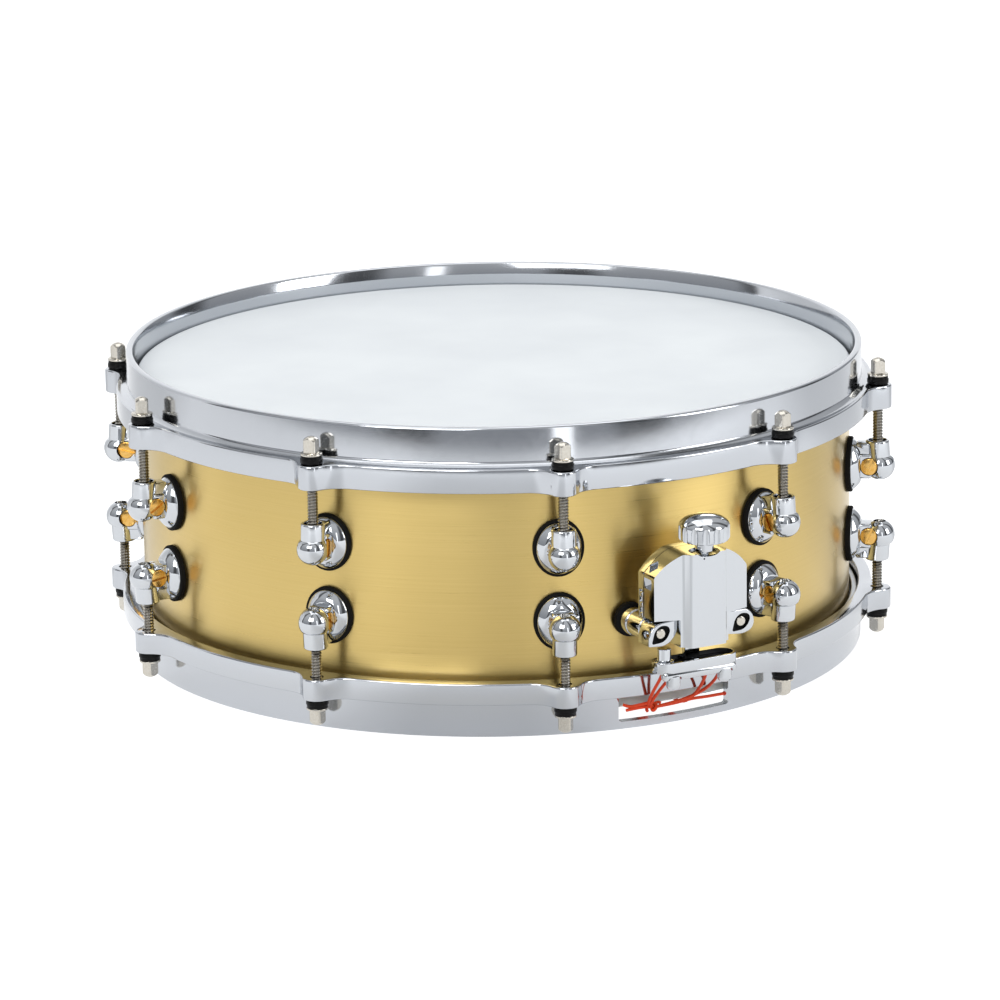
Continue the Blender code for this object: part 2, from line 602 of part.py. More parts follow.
def build_cords(parts, materials):
    """A loop of snare cord at each end, from the clamp through the gate and round the wires' plate."""
    starts = {"front_cord": (-1.0, 198.6 * MM, -105.5 * MM), "back_cord": (1.0, 191.2 * MM, -102.0 * MM)}
    for name, (side, depth, level) in starts.items():
        leg = [
            (12.0 * MM, depth, level), (11.6 * MM, (depth + 191.6 * MM) / 2.0, -113.0 * MM),
            (11.2 * MM, 190.9 * MM, -119.0 * MM), (10.8 * MM, 187.2 * MM, -126.8 * MM),
            (10.6 * MM, 183.0 * MM, -129.6 * MM), (10.4 * MM, 179.0 * MM, CORD_LEVEL),
            (10.2 * MM, 170.0 * MM, CORD_LEVEL), (9.8 * MM, 160.0 * MM, CORD_LEVEL),
            (7.6 * MM, 155.2 * MM, CORD_LEVEL), (3.0 * MM, 153.6 * MM, CORD_LEVEL),
        ]
        right = [Vector((x, side * y, z)) for x, y, z in leg]
        left = [Vector((-p.x, p.y, p.z)) for p in reversed(right)]
        route = smooth_route(right + left, 2)
        curve = bpy.data.curves.new(name, "CURVE")
        curve.dimensions = "3D"
        curve.bevel_depth = CORD_RADIUS
        curve.bevel_resolution = 2
        curve.use_fill_caps = True
        spline = curve.splines.new("POLY")
        spline.points.add(len(route) - 1)
        for point, place in zip(spline.points, route):
            point.co = (*place, 1.0)
        curve.materials.append(materials["cord"])
        parts.objects.link(bpy.data.objects.new(name, curve))


def main():
    """Build every part of the drum."""
    clear_scene()
    parts = new_collection("snare_drum")
    places = {"cutters": new_collection("cutters", hidden=True)}
    materials = {name: make_material(name) for name in FINISHES}
    build_shell(parts, materials)
    build_heads(parts, materials)
    build_hoops(parts, places, materials)
    build_tension_rods(parts, materials)
    build_lugs(parts, places, materials)
    build_posts(parts, places, materials)
    build_cover(parts, places, materials)
    build_lever(parts, places, materials)
    build_knob(parts, materials)
    build_clamp(parts, places, materials)
    build_butt(parts, places, materials)
    build_snare_wires(parts, materials)
    build_cords(parts, materials)


main()
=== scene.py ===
"""A 14 in snare drum: brass shell, cast hoops, ball lugs, a throw-off strainer, butt plate and snare wires.

Metres, +Z up. The origin is the centre of the batter head and the strainer looks along -Y. Azimuths are
degrees from -Y towards +X, levels are heights over the playing surface, depths are distances from the axis.
"""
import logging
import math
from collections.abc import Callable, Iterable, Sequence
from dataclasses import dataclass, field
from enum import Enum
from itertools import pairwise

import bmesh
import bpy
from bpy.types import Material, Mesh, Node, NodeSocket, NodeTree, Object
from mathutils import Matrix, Vector


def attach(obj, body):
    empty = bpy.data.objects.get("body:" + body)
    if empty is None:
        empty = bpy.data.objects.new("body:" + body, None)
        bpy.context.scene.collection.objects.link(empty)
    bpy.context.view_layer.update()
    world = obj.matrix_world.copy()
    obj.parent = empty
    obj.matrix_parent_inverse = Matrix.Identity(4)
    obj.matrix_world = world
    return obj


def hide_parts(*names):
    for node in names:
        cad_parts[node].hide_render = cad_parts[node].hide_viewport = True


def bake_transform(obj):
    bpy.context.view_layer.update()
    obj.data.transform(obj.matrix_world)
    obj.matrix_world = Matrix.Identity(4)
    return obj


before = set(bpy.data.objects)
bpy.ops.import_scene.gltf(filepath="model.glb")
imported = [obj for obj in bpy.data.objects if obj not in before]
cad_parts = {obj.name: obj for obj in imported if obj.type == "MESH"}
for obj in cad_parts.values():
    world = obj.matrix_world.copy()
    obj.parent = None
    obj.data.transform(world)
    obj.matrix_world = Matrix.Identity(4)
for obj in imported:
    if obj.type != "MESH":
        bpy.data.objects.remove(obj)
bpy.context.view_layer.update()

LOG = logging.getLogger("snare_drum")

MM = 0.001
RODS = 10
ROD_STEP = 360.0 / RODS
ROD_CIRCLE = 192.4
SMOOTH_ANGLE = 32.0
SHELL_RADIUS = 177.8
MERGE = 1e-4  # millimetres

Corner = tuple[float, float, float]
Point = tuple[float, float, float]


class Side(Enum):
    """The two ends of the drum, with the sign of the way out from the shell."""

    BATTER = 1.0
    SNARE = -1.0


class Cut(Enum):
    """What a boolean does with its tool."""

    JOIN = "UNION"
    TAKE = "DIFFERENCE"
    KEEP = "INTERSECT"


def srgb(code: str) -> tuple[float, float, float, float]:
    """Turn an sRGB hex colour into linear light.

    Args:
        code: the colour, as "#RRGGBB".

    Returns:
        Linear red, green and blue, with an alpha of one.
    """
    shares = [int(code[i : i + 2], 16) / 255.0 for i in (1, 3, 5)]
    red, green, blue = (c / 12.92 if c <= 0.04045 else ((c + 0.055) / 1.055) ** 2.4 for c in shares)
    return red, green, blue, 1.0


def add_node(tree: NodeTree, kind: str, inputs: dict | None = None, **settings: object) -> Node:
    """Add a node with its settings and links.

    Args:
        tree: the material's or the world's node tree.
        kind: the node's type.
        inputs: for a socket's name or number, another node's output or a value.
        settings: the node's own properties.

    Returns:
        The new node.
    """
    node = tree.nodes.new(kind)
    for name, value in settings.items():
        setattr(node, name, value)
    for name, value in (inputs or {}).items():
        if isinstance(value, NodeSocket):
            tree.links.new(value, node.inputs[name])
        else:
            node.inputs[name].default_value = value
    return node


def polar(azimuth: float, radius: float, level: float = 0.0) -> Vector:
    """A point in millimetres at an azimuth, a distance from the axis and a level."""
    angle = math.radians(azimuth)
    return Vector((radius * math.sin(angle), -radius * math.cos(angle), level))


def rod_azimuth(number: int) -> float:
    """The azimuth of a rod, counted from zero."""
    return ROD_STEP * (number + 0.5)


# ------------------------------------------------------------------------------------------------- finishes


@dataclass(frozen=True)
class Finish:
    """A surface as one Principled material; each kind of finish adds its own detail."""

    name: str
    colour: str
    roughness: float
    metallic: float = 1.0

    def material(self) -> Material:
        """Make the material once, and hand out the same one after that.

        Returns:
            The finish's material.
        """
        found = bpy.data.materials.get(self.name)
        if found is not None:
            return found
        made = bpy.data.materials.new(self.name)
        made.use_nodes = True
        tree = made.node_tree
        shader = tree.nodes["Principled BSDF"]
        shader.inputs["Base Color"].default_value = srgb(self.colour)
        shader.inputs["Roughness"].default_value = self.roughness
        shader.inputs["Metallic"].default_value = self.metallic
        place = add_node(tree, "ShaderNodeTexCoord").outputs["Object"]
        self.detail(tree, shader, place)
        return made

    def detail(self, tree: NodeTree, shader: Node, place: NodeSocket) -> None:
        """Add the finish's texture.

        Args:
            tree: the material's node tree.
            shader: its Principled node.
            place: the Object coordinates, in metres.
        """

    def spread(self, tree: NodeTree, amount: NodeSocket, low: float, high: float) -> NodeSocket:
        """Turn a noise of about 0.3 to 0.7 into a range of values.

        Args:
            tree: the material's node tree.
            amount: the noise.
            low: the value at 0.3.
            high: the value at 0.7.

        Returns:
            The mapped value.
        """
        inputs = {"Value": amount, "From Min": 0.3, "From Max": 0.7, "To Min": low, "To Max": high}
        return add_node(tree, "ShaderNodeMapRange", inputs).outputs["Result"]

    def tint(self, tree: NodeTree, amount: NodeSocket, low: str, high: str) -> NodeSocket:
        """Blend two colours by a noise of about 0.3 to 0.7.

        Args:
            tree: the material's node tree.
            amount: the noise.
            low: the colour at 0.3.
            high: the colour at 0.7.

        Returns:
            The blended colour.
        """
        share = self.spread(tree, amount, 0.0, 1.0)
        inputs = {0: share, 6: srgb(low), 7: srgb(high)}
        return add_node(tree, "ShaderNodeMix", inputs, data_type="RGBA").outputs[2]

    def raise_by(self, tree: NodeTree, shader: Node, height: NodeSocket, strength: float,
                 depth: float) -> None:
        """Give the shader a bump.

        Args:
            tree: the material's node tree.
            shader: its Principled node.
            height: the height pattern.
            strength: how strongly the bump shows.
            depth: the bump's depth in metres.
        """
        inputs = {"Height": height, "Strength": strength, "Distance": depth}
        bump = add_node(tree, "ShaderNodeBump", inputs)
        tree.links.new(bump.outputs["Normal"], shader.inputs["Normal"])


@dataclass(frozen=True)
class BrushedBrass(Finish):
    """Sheet brass brushed round the shell and lacquered: its fine rings smear reflections upright.

    The real brush lines are about 0.1 mm apart. They are drawn 0.4 mm apart, or they would not show.
    """

    line: float = 0.4 * MM
    stroke: float = 70.0 * MM
    darker: str = "#CFB36C"
    lighter: str = "#DEC37F"

    def detail(self, tree: NodeTree, shader: Node, place: NodeSocket) -> None:
        """Add brush lines that run round the shell, and a slow drift in tone.

        Args:
            tree: the material's node tree.
            shader: its Principled node.
            place: the Object coordinates, in metres.
        """
        scale = (1.0 / self.stroke, 1.0 / self.stroke, 1.0 / self.line)
        strokes = add_node(tree, "ShaderNodeMapping", {"Vector": place, "Scale": scale}).outputs["Vector"]
        lines = add_node(tree, "ShaderNodeTexNoise", {"Vector": strokes, "Scale": 1.0, "Detail": 4.0,
                                                      "Roughness": 0.65}).outputs["Fac"]
        drift = add_node(tree, "ShaderNodeTexNoise", {"Vector": place, "Scale": 9.0,
                                                      "Detail": 2.0}).outputs["Fac"]
        fine = self.tint(tree, lines, self.darker, self.lighter)
        slow = self.tint(tree, drift, "#D6BA72", "#DEC47E")
        colour = add_node(tree, "ShaderNodeMix", {0: 0.5, 6: fine, 7: slow}, data_type="RGBA").outputs[2]
        tree.links.new(colour, shader.inputs["Base Color"])
        tree.links.new(self.spread(tree, lines, self.roughness - 0.03, self.roughness + 0.04),
                       shader.inputs["Roughness"])
        turn = add_node(tree, "ShaderNodeTangent", direction_type="RADIAL", axis="Z").outputs["Tangent"]
        tree.links.new(turn, shader.inputs["Tangent"])
        shader.inputs["Anisotropic"].default_value = 0.8
        shader.inputs["Anisotropic Rotation"].default_value = 0.25
        shader.inputs["Coat Weight"].default_value = 0.25
        shader.inputs["Coat Roughness"].default_value = 0.12
        self.raise_by(tree, shader, lines, 0.05, 0.02 * MM)


@dataclass(frozen=True)
class ChromePlate(Finish):
    """Chrome over a polished casting: a cool mirror with the soft waves that buffing leaves."""

    wave: float = 9.0 * MM
    swell: float = 0.05

    def detail(self, tree: NodeTree, shader: Node, place: NodeSocket) -> None:
        """Add buffing waves about 9 mm across and faint wipe marks in the gloss.

        Args:
            tree: the material's node tree.
            shader: its Principled node.
            place: the Object coordinates, in metres.
        """
        waves = add_node(tree, "ShaderNodeTexNoise", {"Vector": place, "Scale": 1.0 / self.wave,
                                                      "Detail": 1.0}).outputs["Fac"]
        wipes = add_node(tree, "ShaderNodeTexNoise", {"Vector": place, "Scale": 140.0, "Detail": 5.0,
                                                      "Distortion": 1.2}).outputs["Fac"]
        tree.links.new(self.spread(tree, wipes, self.roughness * 0.9, self.roughness * 1.15),
                       shader.inputs["Roughness"])
        self.raise_by(tree, shader, waves, self.swell, 0.3 * MM)


@dataclass(frozen=True)
class TurnedMetal(Finish):
    """Metal cut or rolled on a machine: tiny tool marks break its gloss and warm its tone."""

    mark: float = 0.8 * MM
    darker: str = "#8F877C"
    lighter: str = "#C9C1B4"
    depth: float = 0.03 * MM

    def detail(self, tree: NodeTree, shader: Node, place: NodeSocket) -> None:
        """Add tool marks, coarsened from 0.1 mm so that they show.

        Args:
            tree: the material's node tree.
            shader: its Principled node.
            place: the Object coordinates, in metres.
        """
        marks = add_node(tree, "ShaderNodeTexNoise", {"Vector": place, "Scale": 1.0 / self.mark,
                                                      "Detail": 2.0, "Roughness": 0.6}).outputs["Fac"]
        tree.links.new(self.tint(tree, marks, self.darker, self.lighter), shader.inputs["Base Color"])
        tree.links.new(self.spread(tree, marks, self.roughness - 0.06, self.roughness + 0.08),
                       shader.inputs["Roughness"])
        self.raise_by(tree, shader, marks, 0.25, self.depth)


@dataclass(frozen=True)
class RolledThread(TurnedMetal):
    """Nickel on a rolled thread: its grooves are painted darker, as painted shade with some oil, so they read
    as dark lines.
    """

    # The colour painted into the grooves: painted shade with some oil.
    groove: str = "#4A433A"

    def detail(self, tree: NodeTree, shader: Node, place: NodeSocket) -> None:
        """Add the tool marks, then paint the grooves darker as painted shade and oil; the mesh marks the
        grooves with an attribute.

        Args:
            tree: the material's node tree.
            shader: its Principled node.
            place: the Object coordinates, in metres.
        """
        super().detail(tree, shader, place)
        clean = shader.inputs["Base Color"].links[0].from_socket
        # Painted shade with some oil: the groove attribute picks out the thread's grooves, and the groove
        # colour darkens them.
        depth = add_node(tree, "ShaderNodeAttribute", attribute_name="groove").outputs["Fac"]
        inputs = {0: depth, 6: clean, 7: srgb(self.groove)}
        colour = add_node(tree, "ShaderNodeMix", inputs, data_type="RGBA").outputs[2]
        tree.links.new(colour, shader.inputs["Base Color"])


@dataclass(frozen=True)
class MouldedBlack(Finish):
    """Moulded rubber or nylon: near black, with a fine mould grain that dulls its shine."""

    grain: float = 0.4 * MM
    metallic: float = 0.0

    def detail(self, tree: NodeTree, shader: Node, place: NodeSocket) -> None:
        """Add the mould's grain, 0.4 mm across.

        Args:
            tree: the material's node tree.
            shader: its Principled node.
            place: the Object coordinates, in metres.
        """
        grain = add_node(tree, "ShaderNodeTexNoise", {"Vector": place, "Scale": 1.0 / self.grain,
                                                      "Detail": 3.0}).outputs["Fac"]
        tree.links.new(self.tint(tree, grain, "#050505", "#0E0E0F"), shader.inputs["Base Color"])
        shader.inputs["Specular IOR Level"].default_value = 0.15
        self.raise_by(tree, shader, grain, 0.3, 0.04 * MM)


@dataclass(frozen=True)
class CoatedFilm(Finish):
    """Polyester film under a sprayed white coat: matt, with the speckle that brushes bite on."""

    speckle: float = 0.7 * MM
    metallic: float = 0.0

    def detail(self, tree: NodeTree, shader: Node, place: NodeSocket) -> None:
        """Add the coat's speckle, 0.7 mm across, and a slow unevenness of the spray.

        Args:
            tree: the material's node tree.
            shader: its Principled node.
            place: the Object coordinates, in metres.
        """
        speckle = add_node(tree, "ShaderNodeTexNoise", {"Vector": place, "Scale": 1.0 / self.speckle,
                                                        "Detail": 3.0, "Roughness": 0.7}).outputs["Fac"]
        spray = add_node(tree, "ShaderNodeTexNoise", {"Vector": place, "Scale": 14.0,
                                                      "Detail": 3.0}).outputs["Fac"]
        tree.links.new(self.tint(tree, spray, "#DDE1E4", "#E6EAEC"), shader.inputs["Base Color"])
        tree.links.new(self.spread(tree, speckle, 0.55, 0.75), shader.inputs["Roughness"])
        self.raise_by(tree, shader, speckle, 0.35, 0.05 * MM)


@dataclass(frozen=True)
class ClearFilm(Finish):
    """Thin hazy polyester: light comes through it, and shallow creases catch the lamps."""

    metallic: float = 0.0

    def detail(self, tree: NodeTree, shader: Node, place: NodeSocket) -> None:
        """Let light through, and add a haze that varies over a few centimetres.

        Args:
            tree: the material's node tree.
            shader: its Principled node.
            place: the Object coordinates, in metres.
        """
        haze = add_node(tree, "ShaderNodeTexNoise", {"Vector": place, "Scale": 30.0,
                                                     "Detail": 4.0}).outputs["Fac"]
        tree.links.new(self.tint(tree, haze, "#DDE1E2", "#EEF1F1"), shader.inputs["Base Color"])
        tree.links.new(self.spread(tree, haze, self.roughness - 0.05, self.roughness + 0.08),
                       shader.inputs["Roughness"])
        shader.inputs["Transmission Weight"].default_value = 0.6
        shader.inputs["IOR"].default_value = 1.5
        self.raise_by(tree, shader, haze, 0.05, 0.2 * MM)


@dataclass(frozen=True)
class TwistedCord(Finish):
    """Laid nylon cord: three plies wind round it, each a shallow ridge that catches the light, with painted
    shade in the grooves between them.
    """

    metallic: float = 0.0

    def detail(self, tree: NodeTree, shader: Node, place: NodeSocket) -> None:
        """Add plies that follow the cord's own length and girth, one turn of three plies each 2.4 mm, painted
        darker in the grooves between them as painted shade.

        Args:
            tree: the material's node tree.
            shader: its Principled node.
            place: the Object coordinates, in metres; not used.
        """
        flat = add_node(tree, "ShaderNodeUVMap", uv_map="cord").outputs["UV"]
        turned = {"Vector": flat, "Rotation": (0.0, 0.0, 0.62)}
        slant = add_node(tree, "ShaderNodeMapping", turned).outputs["Vector"]
        plies = add_node(tree, "ShaderNodeTexWave", {"Vector": slant, "Scale": 0.9, "Distortion": 0.6},
                         wave_type="BANDS", bands_direction="X").outputs["Fac"]
        # Painted shade: the colour follows the plies' bump, darker in the grooves between them and lighter on
        # their crests.
        tree.links.new(self.tint(tree, plies, "#B42A06", "#E84A14"), shader.inputs["Base Color"])
        shader.inputs["Specular IOR Level"].default_value = 0.35
        self.raise_by(tree, shader, plies, 0.5, 0.15 * MM)


@dataclass(frozen=True)
class SeamlessPaper(Finish):
    """White studio paper with a faint tooth that glows, so that it stays white round the drum; where
    reflections see it, its glow is dimmed in three wedges, painted reflections of dark flags.
    """

    metallic: float = 0.0
    # Glow strengths: seen by the camera, seen in reflections between the wedges, and seen in reflections at
    # the wedges' darkest, which are painted reflections of dark flags.
    glow: float = 0.95
    dim: float = 0.78
    painted_flag_glow: float = 0.5

    def detail(self, tree: NodeTree, shader: Node, place: NodeSocket) -> None:
        """Add the paper's tooth and its glow: even where the camera sees it, and dimmed in three wedges,
        painted reflections of dark flags, where reflections see it.

        Args:
            tree: the material's node tree.
            shader: its Principled node.
            place: the Object coordinates, in metres.
        """
        shader.inputs["Emission Color"].default_value = srgb("#FFFFFF")
        # Painted reflection: three wedges round the drum dim the glow that reflections see, in place of dark
        # flags.
        parts = add_node(tree, "ShaderNodeSeparateXYZ", {0: place}).outputs
        angle = add_node(tree, "ShaderNodeMath", {0: parts["X"], 1: parts["Y"]},
                         operation="ARCTAN2").outputs[0]
        thrice = add_node(tree, "ShaderNodeMath", {0: angle, 1: 3.0, 2: math.radians(84.0)},
                          operation="MULTIPLY_ADD").outputs[0]
        wave = add_node(tree, "ShaderNodeMath", {0: thrice}, operation="COSINE").outputs[0]
        inputs = {"Value": wave, "From Min": 0.3, "From Max": 0.9, "To Min": self.dim, "To Max": self.painted_flag_glow}
        reflected = add_node(tree, "ShaderNodeMapRange", inputs).outputs["Result"]
        seen = add_node(tree, "ShaderNodeLightPath").outputs["Is Camera Ray"]
        share = add_node(tree, "ShaderNodeMix", {0: seen, 2: reflected, 3: self.glow}).outputs[0]
        tree.links.new(share, shader.inputs["Emission Strength"])
        tooth = add_node(tree, "ShaderNodeTexNoise", {"Vector": place, "Scale": 300.0,
                                                      "Detail": 2.0}).outputs["Fac"]
        self.raise_by(tree, shader, tooth, 0.05, 0.1 * MM)


class Finishes:
    """Every finish of the drum."""

    BRASS = BrushedBrass("lacquered brushed brass", "#DABF78", 0.30)
    HOOP = ChromePlate("chromed cast zinc", "#C4C7CC", 0.11, swell=0.015)
    CHROME = ChromePlate("chromed and buffed zinc", "#CDD0D4", 0.05, swell=0.03)
    NICKEL = RolledThread("satin nickel on rolled steel", "#CFCAC0", 0.2, darker="#C6C0B5", lighter="#D6D2C9",
                          depth=0.003 * MM)
    NUT = TurnedMetal("turned brass", "#E2B262", 0.2, darker="#DBA852", lighter="#EABF74", mark=2.0 * MM,
                      depth=0.002 * MM)
    ALUMINIUM = TurnedMetal("drawn aluminium", "#B9BBBE", 0.32, darker="#A5A7AA", lighter="#CACCCE",
                            mark=1.2 * MM)
    SPRING = TurnedMetal("drawn spring steel", "#B4B2AE", 0.24, darker="#8F8D8A", lighter="#D4D2CE")
    PLATE = TurnedMetal("tinned steel strip", "#C2C0BA", 0.30, darker="#A9A7A0", lighter="#D2D0CA",
                        mark=1.5 * MM)
    RUBBER = MouldedBlack("moulded black rubber", "#0D0D0D", 0.72)
    NYLON = MouldedBlack("moulded black nylon", "#0B0B0C", 0.34)
    COATED = CoatedFilm("coated polyester film", "#ECEFF1", 0.65)
    CLEAR = ClearFilm("clear polyester film", "#E6E9EA", 0.18)
    CORD = TwistedCord("laid nylon cord", "#D03A0E", 0.55)
    PAPER = SeamlessPaper("seamless white paper", "#B4B6B8", 0.9)


# -------------------------------------------------------------------------------------------- the workbench


class Workpiece:
    """A mesh in the making: sizes go in as millimetres, and bmesh operators shape it."""

    def __init__(self, name: str) -> None:
        """Start an empty piece."""
        self.name = name
        self.bm = bmesh.new()

    def wire(self, corners: Iterable[Corner], plane: Callable[[float, float], Point], closed: bool = True,
             steps: int = 4) -> list[bmesh.types.BMVert]:
        """Draw a line through corners and round those that have a cut-back.

        Args:
            corners: (across, along, cut-back), the cut-back being how far from the corner its arc starts.
            plane: turns across and along into a point.
            closed: whether the line returns to its start.
            steps: segments in each rounded corner.

        Returns:
            The line's vertices.
        """
        listed = list(corners)
        verts = [self.bm.verts.new(plane(a, b)) for a, b, _ in listed]
        others = set(self.bm.verts) - set(verts)
        pairs = list(pairwise(verts)) + ([(verts[-1], verts[0])] if closed else [])
        for first, second in pairs:
            self.bm.edges.new((first, second))
        for cut in sorted({c for _, _, c in listed if c > 0.0}):
            chosen = [v for v, (_, _, c) in zip(verts, listed) if c == cut]
            bmesh.ops.bevel(self.bm, geom=chosen, offset=cut, offset_type="OFFSET", segments=steps,
                            profile=0.5, affect="VERTICES", material=-1)
        return [v for v in self.bm.verts if v not in others]

    def lathe(self, profile: Sequence[Corner], closed: bool = True, turns: int = 48,
              steps: int = 4) -> "Workpiece":
        """Spin a profile round the upright axis.

        Args:
            profile: (radius, level, cut-back) corners.
            closed: whether the profile returns to its start.
            turns: the steps in a whole turn.
            steps: segments in each rounded corner.

        Returns:
            The piece itself.
        """
        verts = self.wire(profile, lambda r, z: (r, 0.0, z), closed, steps)
        edges = list({e for v in verts for e in v.link_edges})
        bmesh.ops.spin(self.bm, geom=verts + edges, cent=(0, 0, 0), axis=(0, 0, 1), dvec=(0, 0, 0),
                       angle=math.tau, steps=turns, use_merge=True)
        bmesh.ops.remove_doubles(self.bm, verts=self.bm.verts, dist=MERGE)
        bmesh.ops.dissolve_degenerate(self.bm, edges=self.bm.edges, dist=MERGE)
        return self

    def plate(self, outline: Sequence[Corner], near: float, far: float, upright: bool = True,
              steps: int = 5, edge: float = 0.0) -> "Workpiece":
        """Extrude an outline.

        Upright ones are (x, level) between two depths, others (x, y) between two levels.

        Args:
            outline: (across, along, cut-back) corners.
            near: where the outline starts.
            far: where it ends.
            upright: whether it stands in front of the drum or lies flat.
            steps: segments in each rounded corner.
            edge: how far its edges are bevelled.

        Returns:
            The piece itself.
        """
        old = set(self.bm.faces)
        place = (lambda a, b: (a, -near, b)) if upright else (lambda a, b: (a, b, near))
        verts = self.wire(outline, place, True, steps)
        edges = list({e for v in verts for e in v.link_edges})
        made = bmesh.ops.contextual_create(self.bm, geom=edges)["faces"]
        grown = bmesh.ops.extrude_face_region(self.bm, geom=made)["geom"]
        moved = [item for item in grown if isinstance(item, bmesh.types.BMVert)]
        shift = (0.0, near - far, 0.0) if upright else (0.0, 0.0, far - near)
        bmesh.ops.translate(self.bm, vec=shift, verts=moved)
        if edge > 0.0:
            self.soften(edge, faces=[f for f in self.bm.faces if f not in old])
        return self

    def block(self, low: Point, high: Point, edge: float = 0.0, steps: int = 3) -> "Workpiece":
        """Add a bar with rounded edges.

        Args:
            low: its lowest corner on all three axes.
            high: the opposite corner.
            edge: how far its edges are bevelled.
            steps: segments in each bevel.

        Returns:
            The piece itself.
        """
        old = set(self.bm.faces)
        verts = bmesh.ops.create_cube(self.bm, size=1.0)["verts"]
        low_v, high_v = Vector(low), Vector(high)
        bmesh.ops.scale(self.bm, vec=high_v - low_v, verts=verts)
        bmesh.ops.translate(self.bm, vec=(low_v + high_v) / 2.0, verts=verts)
        if edge > 0.0:
            self.soften(edge, steps, [f for f in self.bm.faces if f not in old])
        return self

    def soften(self, width: float, steps: int = 3, faces: list | None = None,
               least: float = 40.0) -> "Workpiece":
        """Bevel the edges that turn by more than an angle.

        Args:
            width: the bevel's width.
            steps: its segments.
            faces: the faces whose edges count, or None for all.
            least: the smallest turn, in degrees.

        Returns:
            The piece itself.
        """
        self.bm.normal_update()
        bmesh.ops.recalc_face_normals(self.bm, faces=self.bm.faces)
        chosen = set(faces if faces is not None else self.bm.faces)
        edges = [e for e in self.bm.edges if len(e.link_faces) == 2 and set(e.link_faces) <= chosen
                 and e.calc_face_angle(0.0) > math.radians(least)]
        bmesh.ops.bevel(self.bm, geom=edges, offset=width, offset_type="OFFSET", segments=steps, profile=0.5,
                        affect="EDGES", material=-1, clamp_overlap=True)
        return self

    def place(self, matrix: Matrix) -> "Workpiece":
        """Move or turn everything made so far."""
        bmesh.ops.transform(self.bm, matrix=matrix, verts=self.bm.verts)
        return self

    def mesh(self) -> Mesh:
        """Close the piece and turn its faces outwards.

        Returns:
            Its mesh, still in millimetres.
        """
        bmesh.ops.remove_doubles(self.bm, verts=self.bm.verts, dist=MERGE)
        bmesh.ops.recalc_face_normals(self.bm, faces=self.bm.faces)
        mesh = bpy.data.meshes.new(self.name)
        self.bm.to_mesh(mesh)
        self.bm.free()
        return mesh


def fitted(mesh: Mesh, tools: Sequence[tuple[Cut, Mesh]]) -> Mesh:
    """Join and cut a mesh with others.

    Args:
        mesh: the mesh to work on.
        tools: what to do, and the mesh to do it with, in order.

    Returns:
        The finished mesh, still in millimetres.
    """
    scene = bpy.context.scene.collection
    base = bpy.data.objects.new(mesh.name, mesh)
    scene.objects.link(base)
    helpers = []
    for cut, tool in tools:
        helper = bpy.data.objects.new("tool", tool)
        scene.objects.link(helper)
        modifier = base.modifiers.new(cut.name, "BOOLEAN")
        modifier.operation, modifier.solver, modifier.object = cut.value, "EXACT", helper
        helpers.append(helper)
    bpy.context.view_layer.update()
    result = bpy.data.meshes.new_from_object(base.evaluated_get(bpy.context.evaluated_depsgraph_get()))
    for item in [base, *helpers]:
        bpy.data.objects.remove(item, do_unlink=True)
    result.name = mesh.name
    return result


def assemble(name: str, mesh: Mesh, body: str | None, finish: Finish, nodes: Sequence[str] = (),
             matrix: Matrix | None = None, smooth: float = SMOOTH_ANGLE) -> Object:
    """Put a finished mesh in the scene and tie it to its body.

    Args:
        name: the piece's name.
        mesh: its mesh in millimetres, which is copied.
        body: the body that it rides on, or None, which leaves the piece tied to no body.
        finish: its finish.
        nodes: the nodes that it stands for.
        matrix: where it goes, in millimetres.
        smooth: edges that turn by more than this many degrees stay crisp.

    Returns:
        The piece.
    """
    own = mesh.copy()
    own.transform(Matrix.Scale(MM, 4) @ (matrix or Matrix.Identity(4)))
    own.materials.clear()
    own.materials.append(finish.material())
    own.shade_smooth()
    own.set_sharp_from_angle(angle=math.radians(smooth))
    piece = bpy.data.objects.new(name, own)
    bpy.context.scene.collection.objects.link(piece)
    if nodes:
        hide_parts(*nodes)
    if body is not None:
        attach(piece, body)
    LOG.info("%s rides %s", name, body or "two bodies")
    return piece


def at_rod(number: int, level: float, flip: bool = False) -> Matrix:
    """Find where a rod's or a lug's own axis stands.

    Args:
        number: the rod, counted from zero.
        level: the height.
        flip: whether it is turned over, for the snare side.

    Returns:
        The place and turn, in millimetres.
    """
    turn = Matrix.Rotation(math.radians(rod_azimuth(number)), 4, "Z")
    over = Matrix.Rotation(math.pi, 4, "Y") if flip else Matrix.Identity(4)
    return Matrix.Translation(polar(rod_azimuth(number), ROD_CIRCLE, level)) @ turn @ over


# ------------------------------------------------------------------------------------------- shell and heads


